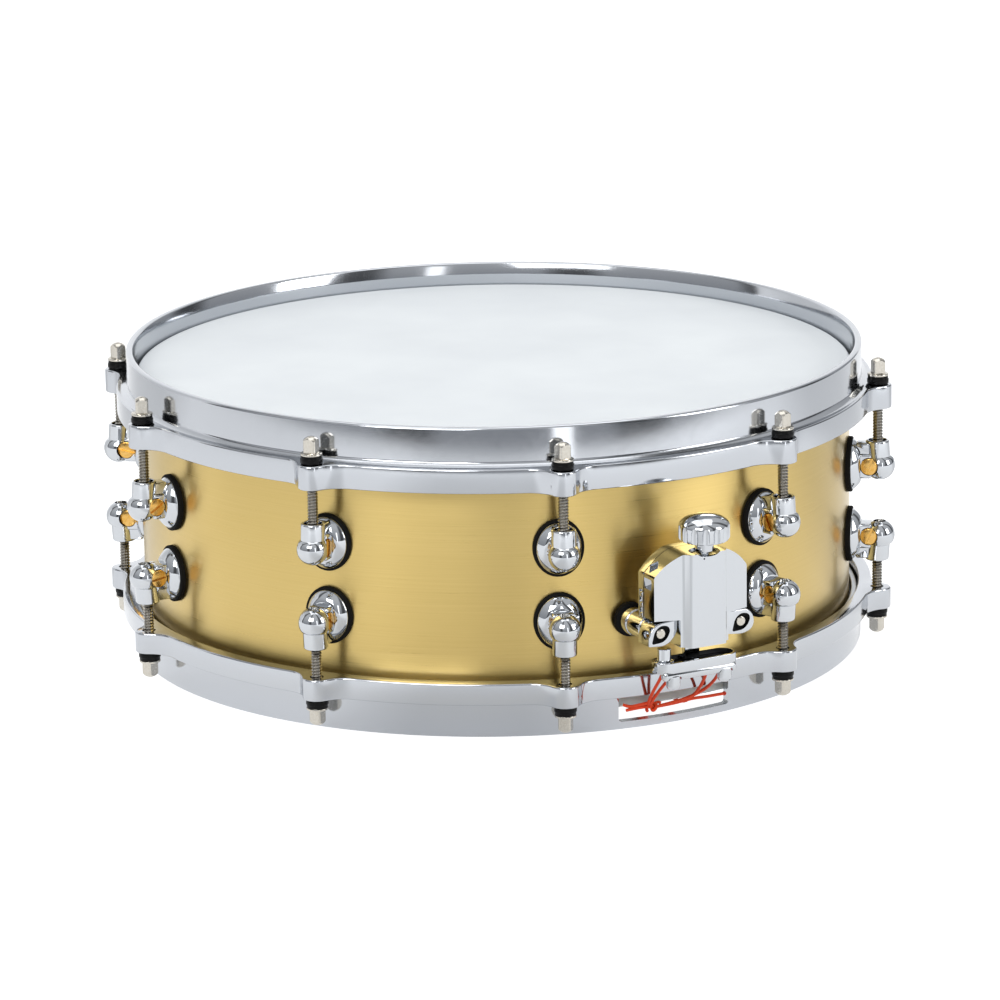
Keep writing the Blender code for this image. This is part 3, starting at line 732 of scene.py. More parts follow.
@dataclass
class Shell:
    """The brass shell: a thin tube with turned-in bearing edges and an air vent at the back."""

    wall: float = 1.5
    top: float = -0.6
    bottom: float = -129.9
    lip: float = 3.0
    turns: int = 240
    vent_azimuth: float = 216.0
    vent_level: float = -66.0
    vent_radius: float = 5.0

    def tube(self) -> Mesh:
        """Spin the shell's section, its corners eased.

        Returns:
            The shell's mesh.
        """
        outer, inner, lip = SHELL_RADIUS, SHELL_RADIUS - self.wall, self.lip
        section = [
            (outer, self.top - lip, 1.2), (outer, self.bottom + lip, 1.2), (inner, self.bottom, 0.3),
            (inner - lip, self.bottom + lip, 0.5), (inner, self.bottom + 2.0 * lip, 1.0),
            (inner, self.top - 2.0 * lip, 1.0), (inner - lip, self.top - lip, 0.5), (inner, self.top, 0.3),
        ]
        return Workpiece("shell").lathe(section, turns=self.turns, steps=3).mesh()

    def build(self) -> None:
        """Make the shell and the eyelet of its vent."""
        hole = Workpiece("vent").lathe([(0, -8, 0), (self.vent_radius, -8, 0), (self.vent_radius, 8, 0),
                                        (0, 8, 0)],
                                       closed=False, turns=32)
        aside = Matrix.Rotation(math.radians(self.vent_azimuth), 4, "Z")
        facing = aside @ Matrix.Rotation(math.pi / 2.0, 4, "X")
        spot = Matrix.Translation(polar(self.vent_azimuth, SHELL_RADIUS, self.vent_level)) @ facing
        mesh = fitted(self.tube(), [(Cut.TAKE, hole.place(spot).mesh())])
        assemble("brass_shell", mesh, "drum", Finishes.BRASS, ["shell"])
        r = self.vent_radius
        eyelet = [(r - 1.0, -2.2, 0.2), (r, -2.2, 0.1), (r, -0.2, 0.1), (r + 2.8, -0.2, 0.1),
                  (r + 2.8, 0.5, 0.4), (r - 1.0, 1.1, 0.8)]
        assemble("vent_eyelet", Workpiece("eyelet").lathe(eyelet, turns=40).mesh(), "drum", Finishes.CHROME,
                 matrix=spot)


@dataclass
class Head:
    """A drumhead: a film drawn over the shell's edge and crimped in its flesh hoop."""

    side: Side
    level: float
    finish: Finish
    slot: str
    collar: float = 178.5
    film: float = 0.3
    drop: float = 5.2
    hoop_inner: float = 178.9
    hoop_outer: float = 181.6
    hoop_height: float = 9.0

    def build(self) -> None:
        """Make the film and its flesh hoop."""
        way, name = -self.side.value, self.side.name.lower()
        inner, top, low = self.collar - self.film, self.level, self.level + way * self.drop
        film = [(0, top, 0), (60, top, 0), (130, top, 0), (self.collar, top, 1.4), (self.collar, low, 0.1),
                (inner, low, 0.1), (inner, top + way * self.film, 1.2), (0, top + way * self.film, 0)]
        mesh = Workpiece(f"{name}_film").lathe(film, closed=False, turns=240, steps=5).mesh()
        assemble(f"{name}_film", mesh, "drum", self.finish, [f"{name}_head_film"])
        near, far = low + way * 0.3, low + way * (0.3 + self.hoop_height)
        ring = [(self.hoop_outer, near, 0.9), (self.hoop_outer, far, 0.5), (self.hoop_inner, far, 0.5),
                (self.hoop_inner, near, 0.7)]
        mesh = Workpiece(f"{name}_ring").lathe(ring, turns=240).mesh()
        assemble(f"{name}_ring", mesh, "drum", Finishes.ALUMINIUM, [f"{name}_flesh_hoop"])


# ------------------------------------------------------------------------------------------------------ hoops


@dataclass
class CastHoop:
    """A cast hoop: a rim with an eased edge, and a flange that swells into ten drilled ears."""

    side: Side
    section: list[Corner]
    node: str
    flange: float = 189.0
    shelf: float = 186.65
    ear: float = 6.9
    fillet: float = 14.0
    hole: float = 3.3
    gate_half: float = 30.0
    gate_levels: tuple[float, float] = (-135.8, -123.4)

    def half_ear(self, inset: float) -> list[tuple[float, float]]:
        """Trace half of one ear and its flange.

        Args:
            inset: how far the line is moved in.

        Returns:
            Points as (azimuth from the ear's middle, radius).
        """
        far, reach = self.flange + self.fillet, self.ear + self.fillet
        valley = math.acos((ROD_CIRCLE**2 + far**2 - reach**2) / (2.0 * ROD_CIRCLE * far))
        ear, hollow = Vector((0.0, ROD_CIRCLE)), Vector((far * math.sin(valley), far * math.cos(valley)))
        lean = math.atan2(hollow.x, hollow.y - ROD_CIRCLE)
        points = [ear + Vector((math.sin(lean * k / 9), math.cos(lean * k / 9))) * (self.ear - inset)
                  for k in range(10)]
        start, stop = math.pi + lean, math.pi + valley
        for k in range(1, 8):
            angle = start + (stop - start) * k / 7
            points.append(hollow + Vector((math.sin(angle), math.cos(angle))) * (self.fillet + inset))
        flat = [(math.degrees(math.atan2(p.x, p.y)), p.length) for p in points]
        last = math.degrees(valley)
        return flat + [(last + (ROD_STEP / 2.0 - last) * k / 8, self.flange - inset) for k in range(1, 9)]

    def ring(self, radius: float, level: float) -> list[Vector]:
        """Trace one loop round the hoop: plain on the rim, following the ears on the flange.

        Args:
            radius: its radius, or the flange's less its inset from the ears' outline.
            level: its height.

        Returns:
            The loop's points.
        """
        swelling = radius > self.shelf
        half = self.half_ear(self.flange - radius if swelling else 0.0)
        both = [(-a, r) for a, r in reversed(half[1:-1])] + half
        return [polar(rod_azimuth(rod) + a, r if swelling else radius, level) for rod in range(RODS)
                for a, r in both]

    def casting(self) -> Mesh:
        """Extrude the first loop from loop to loop round the section, and bridge the last to the first.

        Returns:
            The hoop's mesh, not yet drilled.
        """
        planner = Workpiece("section")
        verts = planner.wire(self.section, lambda r, z: (r, 0.0, z), True, 3)
        start = min(verts,
                    key=lambda v: (v.co.z - self.section[0][1]) ** 2 + (v.co.x - self.section[0][0]) ** 2)
        ordered, edge = [start], start.link_edges[0]
        while (following := edge.other_vert(ordered[-1])) is not start:
            ordered.append(following)
            edge = next(e for e in following.link_edges if e is not edge)
        loops = [self.ring(v.co.x, v.co.z) for v in ordered]
        planner.bm.free()
        work = Workpiece(self.node)
        bm = work.bm
        verts = [bm.verts.new(p) for p in loops[0]]
        first = [bm.edges.new(pair) for pair in list(pairwise(verts)) + [(verts[-1], verts[0])]]
        edges = first
        for loop in loops[1:]:
            grown = bmesh.ops.extrude_edge_only(bm, edges=edges)["geom"]
            new = {v for v in grown if isinstance(v, bmesh.types.BMVert)}
            nexts = [next(e.other_vert(v) for e in v.link_edges if e.other_vert(v) in new) for v in verts]
            for vert, point in zip(nexts, loop):
                vert.co = point
            verts = nexts
            edges = [e for e in grown if isinstance(e, bmesh.types.BMEdge) and set(e.verts) <= new]
        bmesh.ops.bridge_loops(bm, edges=first + edges)
        return work.mesh()

    def build(self) -> None:
        """Cast the hoop, drill its ears and, on the snare side, cut the two gates."""
        levels = [z for _, z, _ in self.section]
        drill = Workpiece("drill")
        for rod in range(RODS):
            pin = bmesh.ops.create_cone(drill.bm, cap_ends=True, segments=24, radius1=self.hole,
                                        radius2=self.hole, depth=60.0)["verts"]
            spot = polar(rod_azimuth(rod), ROD_CIRCLE, (max(levels) + min(levels)) / 2.0)
            bmesh.ops.translate(drill.bm, vec=spot, verts=pin)
        tools = [(Cut.TAKE, drill.mesh())]
        if self.side is Side.SNARE:
            low, high = self.gate_levels
            half = self.gate_half
            window = [(-half, low, 1.6), (half, low, 1.6), (half, high, 0.8), (-half, high, 0.8)]
            for depth in (1.0, -1.0):
                cutter = Workpiece("gate").plate(window, depth * 165.0, depth * 187.0)
                tools.append((Cut.TAKE, cutter.mesh()))
        name = f"{self.side.name.lower()}_side_hoop_casting"
        assemble(name, fitted(self.casting(), tools), "drum", Finishes.HOOP, [self.node])


# ---------------------------------------------------------------------------------------------- rods and lugs


@dataclass
class TensionRods:
    """Ten rods on one side: a rolled thread, a flange, a square domed head and a nylon washer.

    The real pitch of 1.06 mm is drawn as 1.5 mm, or it would not show.
    """

    side: Side
    seat: float
    length: float
    root: float = 2.1
    crest: float = 2.7
    pitch: float = 1.5
    around: int = 12
    flange: float = 5.25
    head: float = 3.05
    washer_radius: float = 5.4
    washer_height: float = 4.0
    thread_merge: float = 5e-3
    dome: float = 4.6
    next_turn: float = 23.0

    def thread(self) -> Mesh:
        """Wind one V of thread down the shank, round a solid core, and add the flange.

        Returns:
            The rod's mesh without its head.
        """
        work = Workpiece("rod")
        low, turns = -self.length + 0.4, int((self.length - 2.0) / self.pitch)
        verts = work.wire([(self.root, low, 0), (self.crest, low + self.pitch / 2.0, 0),
                           (self.root, low + self.pitch, 0)], lambda r, z: (r, 0.0, z), closed=False)
        edges = list({e for v in verts for e in v.link_edges})
        bmesh.ops.spin(work.bm, geom=verts + edges, cent=(0, 0, 0), axis=(0, 0, 1), angle=math.tau * turns,
                       dvec=(0, 0, self.pitch / self.around), steps=self.around * turns, use_merge=False)
        bmesh.ops.remove_doubles(work.bm, verts=work.bm.verts, dist=self.thread_merge)
        # Mark the grooves, where RolledThread paints the thread darker as painted shade with some oil.
        groove = work.bm.verts.layers.float.new("groove")
        for vert in work.bm.verts:
            vert[groove] = float(vert.co.xy.length < (self.root + self.crest) / 2.0)
        core, base = self.root + 0.02, self.washer_height
        work.lathe([(0, -self.length, 0), (core - 0.4, -self.length, 0), (core, -self.length + 0.6, 0),
                    (core, 0.6, 0), (0, 0.6, 0)], closed=False, turns=self.around)
        work.lathe([(0, base, 0), (self.flange, base, 0.2), (self.flange, base + 1.0, 0.3),
                    (self.head + 0.5, base + 1.2, 0), (0, base + 1.2, 0)], closed=False, turns=32, steps=2)
        return work.mesh()

    def square_head(self) -> Mesh:
        """Make a square bar with eased corners, its top rounded over.

        Returns:
            The head's mesh.
        """
        base, top, dome = self.washer_height + 0.8, self.washer_height + 9.0, self.dome
        bar = Workpiece("head").plate([(-self.head, -self.head, 1.0), (self.head, -self.head, 1.0),
                                       (self.head, self.head, 1.0), (-self.head, self.head, 1.0)],
                                      base, top + 1.0, upright=False, steps=3)
        ball = [(0, top, 0)] + [(dome * math.sin(math.radians(a)),
                                 top - dome + dome * math.cos(math.radians(a)), 0)
                                for a in (12, 24, 36, 48, 60, 75, 90)] + [(dome, 0, 0), (0, 0, 0)]
        return fitted(bar.mesh(), [(Cut.KEEP, Workpiece("dome").lathe(ball, closed=False, turns=32).mesh())])

    def build(self) -> None:
        """Make the ten rods, each with its washer."""
        name, flip = ("top", False) if self.side is Side.BATTER else ("bottom", True)
        work = Workpiece("rod")
        work.bm.from_mesh(self.thread())
        work.bm.from_mesh(self.square_head())
        rod = bpy.data.meshes.new("rod")
        work.bm.to_mesh(rod)
        work.bm.free()
        r, h = self.washer_radius, self.washer_height
        ring = [(3.0, 0.05, 0.2), (r, 0.05, 0.6), (r, h - 1.7, 0.1), (r - 0.35, h - 1.5, 0.1),
                (r - 0.35, h, 0.3), (3.0, h, 0.2)]
        washer = Workpiece("washer").lathe(ring, turns=32, steps=2).mesh()
        for number in range(RODS):
            twist = Matrix.Rotation(math.radians(self.next_turn * number % 90.0), 4, "Z")
            spot, body = at_rod(number, self.seat, flip), f"rod_{name}_{number + 1:02d}"
            assemble(f"threaded_{body}", rod, body, Finishes.NICKEL,
                     [f"tension_rod_{name}_{number + 1:02d}"], spot @ twist)
            assemble(f"washer_{body}", washer, body, Finishes.NYLON, matrix=spot)


@dataclass
class BallLugs:
    """The twenty lugs: a socketed ball on an arm, an oval foot on a rubber gasket, a slotted cross nut."""

    ball: float = 7.6
    collar: float = 5.9
    reach: float = 12.8
    mouth: float = 4.5
    bore: float = 3.1
    stand_out: float = 1.2
    nut: float = 4.3
    nut_half: float = 6.3
    nut_inset: float = 3.8
    foot_front: float = 184.6
    foot_back: float = 178.8
    foot_half: tuple[float, float] = (11.0, 12.75)
    gasket_half: tuple[float, float] = (12.3, 14.0)

    def oval(self, profile: list[Corner], half: tuple[float, float], depth: float) -> Workpiece:
        """Spin a profile, press it oval, and bend it to the shell.

        Args:
            profile: (radius, height, cut-back) corners.
            half: half its width and half its height.
            depth: its back's distance from the drum's axis.

        Returns:
            The piece, standing on the shell in the lug's own frame.
        """
        work = Workpiece("oval").lathe(profile, closed=False, turns=56)
        squeeze = Matrix.Diagonal((half[0] / half[1], 1.0, 1.0, 1.0))
        work.place(Matrix.Translation((0, ROD_CIRCLE - depth, 0)) @ Matrix.Rotation(math.pi / 2.0, 4, "X")
                   @ squeeze)
        for vert in work.bm.verts:
            vert.co.y += SHELL_RADIUS - math.sqrt(SHELL_RADIUS**2 - vert.co.x**2)
        return work

    def casting(self) -> Mesh:
        """Join the ball and its collar to the arm and the foot, then bore them for the cross nut.

        Returns:
            The lug's mesh.
        """
        b, c, neck = self.ball, self.collar, math.sqrt(self.ball**2 - self.collar**2)
        low = math.sqrt(b * b - self.bore**2)
        first, last = math.asin(self.bore / b), math.pi - math.asin(c / b)
        curve = [(b * math.sin(t), -b * math.cos(t), 0.0)
                 for t in (first + (last - first) * k / 14 for k in range(1, 14))]
        socket = [(self.bore, -low, 0.0), *curve, (c, neck, 0.0), (c, self.reach, 0.9),
                  (self.mouth, self.reach, 0.35), (self.mouth, 4.0, 0.0), (self.bore, 2.4, 0.0)]
        work = Workpiece("lug").lathe(socket, turns=48)
        for vert in work.bm.verts:
            vert.co.y -= self.stand_out * min(1.0, max(0.0, (neck + 0.6 - vert.co.z) / 1.5))
        ball = work.mesh()
        high = self.foot_half[1]
        foot = self.oval([(0, 0, 0), (high, 0, 0.2), (high, 1.8, 0.7), (high - 2.2, 4.3, 1.6),
                          (high - 4.4, 5.6, 1.0), (0, 6.0, 0)], self.foot_half, self.foot_back).mesh()
        inner = ROD_CIRCLE - self.foot_front + 2.5
        arm = Workpiece("arm").block((-5.3, 2.6, -6.3), (5.3, inner, 6.3), 1.1)
        web = Workpiece("web").block((-4.1, 3.0, 3.0), (4.1, inner, 11.6), 0.7)
        clear = Workpiece("clear").lathe([(0, 1.0, 0), (self.mouth, 1.0, 0), (self.mouth, 16, 0), (0, 16, 0)],
                                         closed=False, turns=48)
        cross = Workpiece("cross").lathe([(0, -12, 0), (self.nut + 0.3, -12, 0), (self.nut + 0.3, 12, 0),
                                          (0, 12, 0)], closed=False, turns=40)
        cross.place(Matrix.Translation((0, self.nut_inset, 0)) @ Matrix.Rotation(math.pi / 2.0, 4, "Y"))
        return fitted(ball, [(Cut.JOIN, arm.mesh()), (Cut.JOIN, web.mesh()), (Cut.JOIN, foot),
                             (Cut.TAKE, clear.mesh()), (Cut.TAKE, cross.mesh())])

    def cross_nut(self) -> Mesh:
        """Make a short bar across the ball with a crowned, slotted face at each end.

        Returns:
            The nut's mesh.
        """
        n, h = self.nut, self.nut_half
        bar = Workpiece("nut").lathe([(0, -h, 0), (n * 0.6, -h + 0.1, 0), (n, -h + 0.5, 0.35),
                                      (n, h - 0.5, 0.35), (n * 0.6, h - 0.1, 0), (0, h, 0)], closed=False,
                                      turns=40).mesh()
        slots = [(Cut.TAKE, Workpiece("slot").block((-0.55, -n - 1, z), (0.55, n + 1, z + 3.0)).mesh())
                 for z in (-h - 1.6, h - 1.4)]
        return fitted(bar, slots)

    def build(self, side: Side, level: float) -> None:
        """Make one side's ten lugs, gaskets and nuts.

        Args:
            side: the side whose rods these lugs take.
            level: the height of their balls.
        """
        name, flip = ("top", False) if side is Side.BATTER else ("bottom", True)
        lug, nut = self.casting(), self.cross_nut()
        high = self.gasket_half[1]
        lip = [(0, -0.9, 0), (high, -0.9, 0.2), (high, 2.4, 0.8), (high - 1.6, 2.4, 0.3),
               (high - 1.8, 1.2, 0.2), (0, 1.2, 0)]
        gasket = self.oval(lip, self.gasket_half, SHELL_RADIUS).mesh()
        for number in range(RODS):
            spot, tag = at_rod(number, level, flip), f"{name}_{number + 1:02d}"
            assemble(f"ball_lug_{tag}", lug, "drum", Finishes.CHROME, [f"lug_{tag}"], spot)
            assemble(f"lug_gasket_{tag}", gasket, "drum", Finishes.RUBBER, matrix=spot)
            turn = Matrix.Rotation(math.radians(47.0 * number + (20.0 if flip else 65.0)), 4, "X")
            cross = Matrix.Translation((0, self.nut_inset, 0)) @ turn @ Matrix.Rotation(math.pi / 2.0, 4, "Y")
            assemble(f"cross_nut_{tag}", nut, "drum", Finishes.NUT, matrix=spot @ cross)


# --------------------------------------------------------------------------------------------------- strainer


def bar_along_y(profile: list[Corner], x: float, level: float, turns: int = 40) -> Workpiece:
    """Spin a profile about a line that runs straight out in front of the drum.

    Args:
        profile: (radius, depth, cut-back) corners.
        x: the line's distance from the middle.
        level: its height.
        turns: the steps in a whole turn.

    Returns:
        The piece.
    """
    return Workpiece("bar").lathe(profile, turns=turns, closed=profile[0][0] > 0.0).place(
        Matrix.Translation((x, 0, level)) @ Matrix.Rotation(math.pi / 2.0, 4, "X"))


@dataclass
class Strainer:
    """The throw-off: posts, cover, horseshoe lever, fluted knob, carriage and cord clamp."""

    post_x: float = 21.7
    post_level: float = -86.7
    cover_half: float = 25.0
    cover_top: float = -48.4
    cover_bottom: float = -93.8
    knob_depth: float = 211.3
    knob_radius: float = 12.1
    flutes: int = 14
    screw_x: float = 13.9
    jaw_depth: float = 201.0
    column: Point = (-16.8, -202.2, 0.0)
    ridge_levels: tuple[float, ...] = (-70.0, -75.0, -80.0)
    full_round: float = 0.999
    arch: list[Corner] = field(default_factory=lambda: [
        (25.0, -59.2, 0.8), (20.6, -54.2, 2.6), (14.8, -50.2, 2.6), (10.6, -48.4, 2.0)])
    nicks: list[Corner] = field(default_factory=lambda: [(21.6, -55.6, 0.85), (24.9, -63.4, 0.2)])

    def arch_outline(self, bottom: float) -> list[Corner]:
        """The tombstone outline that the cover and the lever share, down to a bottom level."""
        left = [(-x, z, c) for x, z, c in reversed(self.arch)]
        return [(self.cover_half, bottom, 0.0), *self.arch, *left, (-self.cover_half, bottom, 0.0)]

    def boss_outline(self, side: float) -> list[Corner]:
        """Outline one post's boss round its pin: a crisp corner in the cover's notch, round elsewhere.

        Args:
            side: -1 on the left, 1 on the right.

        Returns:
            (x, level, cut-back) corners.
        """
        leaf = [(8.6, 6.0, 0.5), (8.3, -1.0, 3.0), (2.6, -6.1, 3.0), (-6.9, -5.4, 0.8), (-6.6, 1.6, 3.2),
                (-2.0, 5.4, 2.4)]
        shield = [(-8.6, 6.0, 0.5), (-8.3, -5.2, 1.2), (1.0, -6.1, 2.4), (6.4, -4.0, 2.6), (6.9, 1.6, 2.6),
                  (3.6, 6.0, 2.2)]
        return [(side * self.post_x + x, self.post_level + z, c)
                for x, z, c in (leaf if side < 0.0 else shield)]

    def build_posts(self) -> None:
        """Make the stepped posts with their gaskets, bosses and pins, and a black plate at the bottom of each
        boss's recess that makes the recess dark.
        """
        for side, name in ((-1.0, "left"), (1.0, "right")):
            x, level = side * self.post_x, self.post_level
            steps = [(0, 177.0, 0), (6.8, 177.0, 0), (6.8, 185.4, 0.5), (6.1, 186.0, 0.3), (6.1, 197.0, 0.2),
                     (5.6, 197.3, 0.1), (5.6, 199.0, 0), (0, 199.0, 0)]
            rear = bar_along_y(steps, x, level)
            boss = Workpiece("boss").plate(self.boss_outline(side), 198.3, 208.8, edge=0.45)
            lens = [(x - 5.4, level - 4.4, 1.2), (x + 2.4, level - 3.9, 3.2), (x + 5.2, level + 2.4, 2.4),
                    (x + 1.4, level + 4.5, 2.0), (x - 3.4, level + 3.2, 3.0)]
            recess = Workpiece("recess").plate(lens, 205.0, 212.0)
            mesh = fitted(rear.mesh(), [(Cut.JOIN, boss.mesh()), (Cut.TAKE, recess.mesh())])
            assemble(f"post_{name}", mesh, "drum", Finishes.CHROME, [f"strainer_post_{name}"])
            # A black plate at the bottom of the boss's recess, which makes the recess read dark.
            recess_plate = Workpiece("recess_plate").plate(lens, 204.6, 205.5).mesh()
            assemble(f"boss_bush_{name}", recess_plate, "drum", Finishes.NYLON)
            pin = bar_along_y([(0, 204.8, 0), (2.4, 204.8, 0), (2.4, 208.2, 0.4), (0, 208.4, 0)], x, level,
                              28)
            assemble(f"boss_pin_{name}", pin.mesh(), "drum", Finishes.NICKEL)
            seal = bar_along_y([(6.6, 176.9, 0.1), (8.3, 176.9, 0.1), (8.3, 180.0, 0.8), (6.6, 180.2, 0.1)],
                               x, level)
            assemble(f"post_gasket_{name}", seal.mesh(), "drum", Finishes.RUBBER)

    def build_cover(self) -> None:
        """Make the cover: a nicked arch whose wings slope up to a rib, scooped round the knob."""
        body = Workpiece("cover").plate(self.arch_outline(self.cover_bottom), 198.1, 220.0)
        half = self.cover_half + 1.0
        plan = [(-half, -190.0, 0.0), (-half, -207.4, 0.5), (-11.4, -211.7, 0.8), (-9.3, -215.7, 1.3),
                (9.3, -215.7, 1.3), (11.4, -211.7, 0.8), (half, -207.4, 0.5), (half, -190.0, 0.0)]
        tools = [(Cut.KEEP, Workpiece("plan").plate(plan, -100.0, -40.0, upright=False, steps=4).mesh())]
        for side in (-1.0, 1.0):
            notch = [(side * 12.9, -104.0, 0.0), (side * 32.0, -104.0, 0.0), (side * 32.0, -80.4, 0.0),
                     (side * 12.9, -80.4, 0.6)]
            tools.append((Cut.TAKE, Workpiece("notch").plate(notch, 190.0, 225.0).mesh()))
            for x, z, turn in self.nicks:
                nick = Workpiece("nick").block((-2.6, -2.6, -2.5), (2.6, 2.6, 2.5))
                spot = Matrix.Translation((side * x, -201.6, z)) @ Matrix.Rotation(side * turn, 4, "Y")
                tools.append((Cut.TAKE, nick.place(spot @ Matrix.Rotation(math.pi / 4.0, 4, "Z")).mesh()))
        spring_hole = bar_along_y([(0, 213.0, 0), (0.45, 213.0, 0), (0.45, 217.0, 0), (0, 217.0, 0)], -2.5,
                                  -51.0, 12)
        tools.append((Cut.TAKE, spring_hole.mesh()))
        tools.append((Cut.TAKE, Workpiece("cavity").block((-8.0, -213.6, -99.0), (8.0, -190.0, -53.0),
                                                          1.0).mesh()))
        scoop = Workpiece("scoop").lathe([(0, -56.0, 0), (2.3, -56.0, 0), (2.3, -50.6, 0.4),
                                          (6.2, -49.8, 1.0), (9.6, -46.0, 0), (0, -46.0, 0)], closed=False,
                                          turns=48)
        tools.append((Cut.TAKE, scoop.place(Matrix.Translation((0, -self.knob_depth, 0))).mesh()))
        mesh = fitted(body.mesh(), tools)
        cover = assemble("cover_casting", mesh, "drum", Finishes.CHROME, ["strainer_cover"])
        edge = cover.modifiers.new("eased edges", "BEVEL")
        edge.width, edge.segments = 0.5 * MM, 3
        edge.limit_method, edge.angle_limit = "ANGLE", math.radians(34.0)
        edge.harden_normals = True

    def build_lever(self) -> None:
        """Make the lever: a horseshoe with a ribbed slot on each side."""
        tools = []
        inner = [(15.8, -93.0, 0.0), (15.8, -66.0, 8.0), (9.0, -58.0, 6.0), (-9.0, -58.0, 6.0),
                 (-15.8, -66.0, 8.0), (-15.8, -93.0, 0.0)]
        tools.append((Cut.TAKE, Workpiece("inside").plate(inner, 186.0, 204.0).mesh()))
        for side in (-1.0, 1.0):
            saddle = bar_along_y([(0, 186, 0), (6.5, 186, 0), (6.5, 204, 0), (0, 204, 0)], side * self.post_x,
                                 self.post_level)
            tools.append((Cut.TAKE, saddle.mesh()))
            slot = Workpiece("slot").block((-1.7, -1.6, -7.6), (1.7, 1.6, 7.6), 0.4)
            tools.append((Cut.TAKE, slot.place(Matrix.Translation((side * 25.4, -195.0, -75.0))).mesh()))
        body = Workpiece("lever").plate(self.arch_outline(self.post_level + 1.2), 192.6, 197.8, edge=0.5)
        assemble("horseshoe_lever", fitted(body.mesh(), tools), "lever", Finishes.CHROME,
                 ["throw_lever"])
        ridges = Workpiece("ridges")
        for side in (-1.0, 1.0):
            for level in self.ridge_levels:
                grip = Workpiece("ridge").block((-0.9, -1.5, -1.5), (0.9, 1.5, 1.5), 0.8)
                grip.place(Matrix.Translation((side * 24.2, -195.0, level)))
                ridges.bm.from_mesh(grip.mesh())
        assemble("lever_grip_ridges", ridges.mesh(), "lever", Finishes.CHROME)

    def build_knob(self) -> None:
        """Make the knob: flutes round its waist, a smooth dome and a slim neck."""
        base, r = self.cover_top + 0.3, self.knob_radius
        profile = [(0, base + 17.9, 0), (4.0, base + 17.6, 0), (7.8, base + 16.6, 1.5),
                   (10.6, base + 14.9, 1.5), (r, base + 12.9, 1.0), (r, base + 6.0, 0.8),
                   (r - 1.5, base + 4.9, 0.6), (4.5, base + 4.9, 0.4), (4.5, base, 0.3), (1.9, base, 0),
                   (1.9, -58.4, 0.4), (0, -58.4, 0)]
        body = Workpiece("knob").lathe(profile, closed=False, turns=112, steps=4).mesh()
        mill = Workpiece("mill")
        for flute in range(self.flutes):
            cutter = Workpiece("flute").lathe([(0, base + 13.6, 0), (1.4, base + 12.8, 0.4),
                                               (1.95, base + 10.8, 0.6), (1.95, base + 2.0, 0),
                                               (0, base + 2.0, 0)], closed=False, turns=20)
            cutter.place(Matrix.Translation(polar(360.0 * flute / self.flutes, r + 0.75)))
            mill.bm.from_mesh(cutter.mesh())
        mesh = fitted(body, [(Cut.TAKE, mill.mesh())])
        spot = Matrix.Translation((0, -self.knob_depth, 0))
        assemble("fluted_knob", mesh, "knob", Finishes.CHROME, ["strainer_knob"], spot)

    def build_carriage(self) -> None:
        """Make the carriage that slides inside the cover."""
        work = Workpiece("carriage").block((-7.6, -213.2, -87.7), (7.6, -199.0, -59.5), 0.6)
        assemble("sliding_carriage", work.mesh(), "carriage", Finishes.CHROME, ["snare_carriage"])

    def stadium(self, half: float, radius: float, depth: float) -> list[Corner]:
        """Outline a long plate with round ends.

        Args:
            half: half its length.
            radius: its ends' radius.
            depth: its middle's depth.

        Returns:
            (x, y, cut-back) corners.
        """
        cut = radius * self.full_round
        return [(-half, -depth - radius, cut), (half, -depth - radius, cut),
                (half, -depth + radius, cut), (-half, -depth + radius, cut)]

    def build_clamp(self) -> None:
        """Make the clamp: a jaw with a black pad in its trough that stands in for the shade there, a short
        column on its boss, and a rounded bar on two key screws.
        """
        jaw = Workpiece("jaw").plate(self.stadium(21.9, 6.8, self.jaw_depth), -107.6, -102.2, upright=False,
                                     steps=10, edge=0.6)
        trough = Workpiece("trough").plate(self.stadium(20.6, 5.5, self.jaw_depth), -105.4, -95.0,
                                           upright=False, steps=10)
        stem = Workpiece("stem").block((-4.0, -199.6, -104.0), (4.0, -196.4, -91.2), 0.5)
        column = Workpiece("column").lathe([(0, -105.8, 0), (4.9, -105.8, 0), (4.9, -102.0, 0.8),
                                            (3.3, -101.4, 0.3), (3.3, -95.7, 0.4), (0, -95.7, 0)],
                                            closed=False, turns=32)
        column.place(Matrix.Translation(self.column))
        mesh = fitted(jaw.mesh(), [(Cut.TAKE, trough.mesh()), (Cut.JOIN, stem.mesh()),
                                   (Cut.JOIN, column.mesh())])
        assemble("clamp_jaw", mesh, "clamp", Finishes.CHROME, ["snare_clamp"])
        # Painted shade: a black rubber pad in the jaw's trough, put there for the dark shade seen in it.
        shade_pad = Workpiece("shade_pad").plate(self.stadium(20.2, 5.1, self.jaw_depth), -105.5, -104.6, upright=False,
                                     steps=10)
        column_hole = Workpiece("hole").lathe([(0, -110, 0), (5.1, -110, 0), (5.1, -100, 0), (0, -100, 0)],
                                              closed=False, turns=32).place(Matrix.Translation(self.column))
        stem_hole = Workpiece("hole").block((-4.2, -199.8, -110.0), (4.2, -196.2, -100.0))
        mesh = fitted(shade_pad.mesh(), [(Cut.TAKE, column_hole.mesh()), (Cut.TAKE, stem_hole.mesh())])
        assemble("clamp_shade_pad", mesh, "clamp", Finishes.RUBBER)
        clamp_bar("clamp_front_bar", -1.0, (202.9, 208.1), (-111.2, -105.9), self.screw_x, "clamp",
                  "snare_clamp_bar")

    def build(self) -> None:
        """Make the whole strainer."""
        self.build_posts()
        self.build_cover()
        self.build_lever()
        self.build_knob()
        self.build_carriage()
        self.build_clamp()


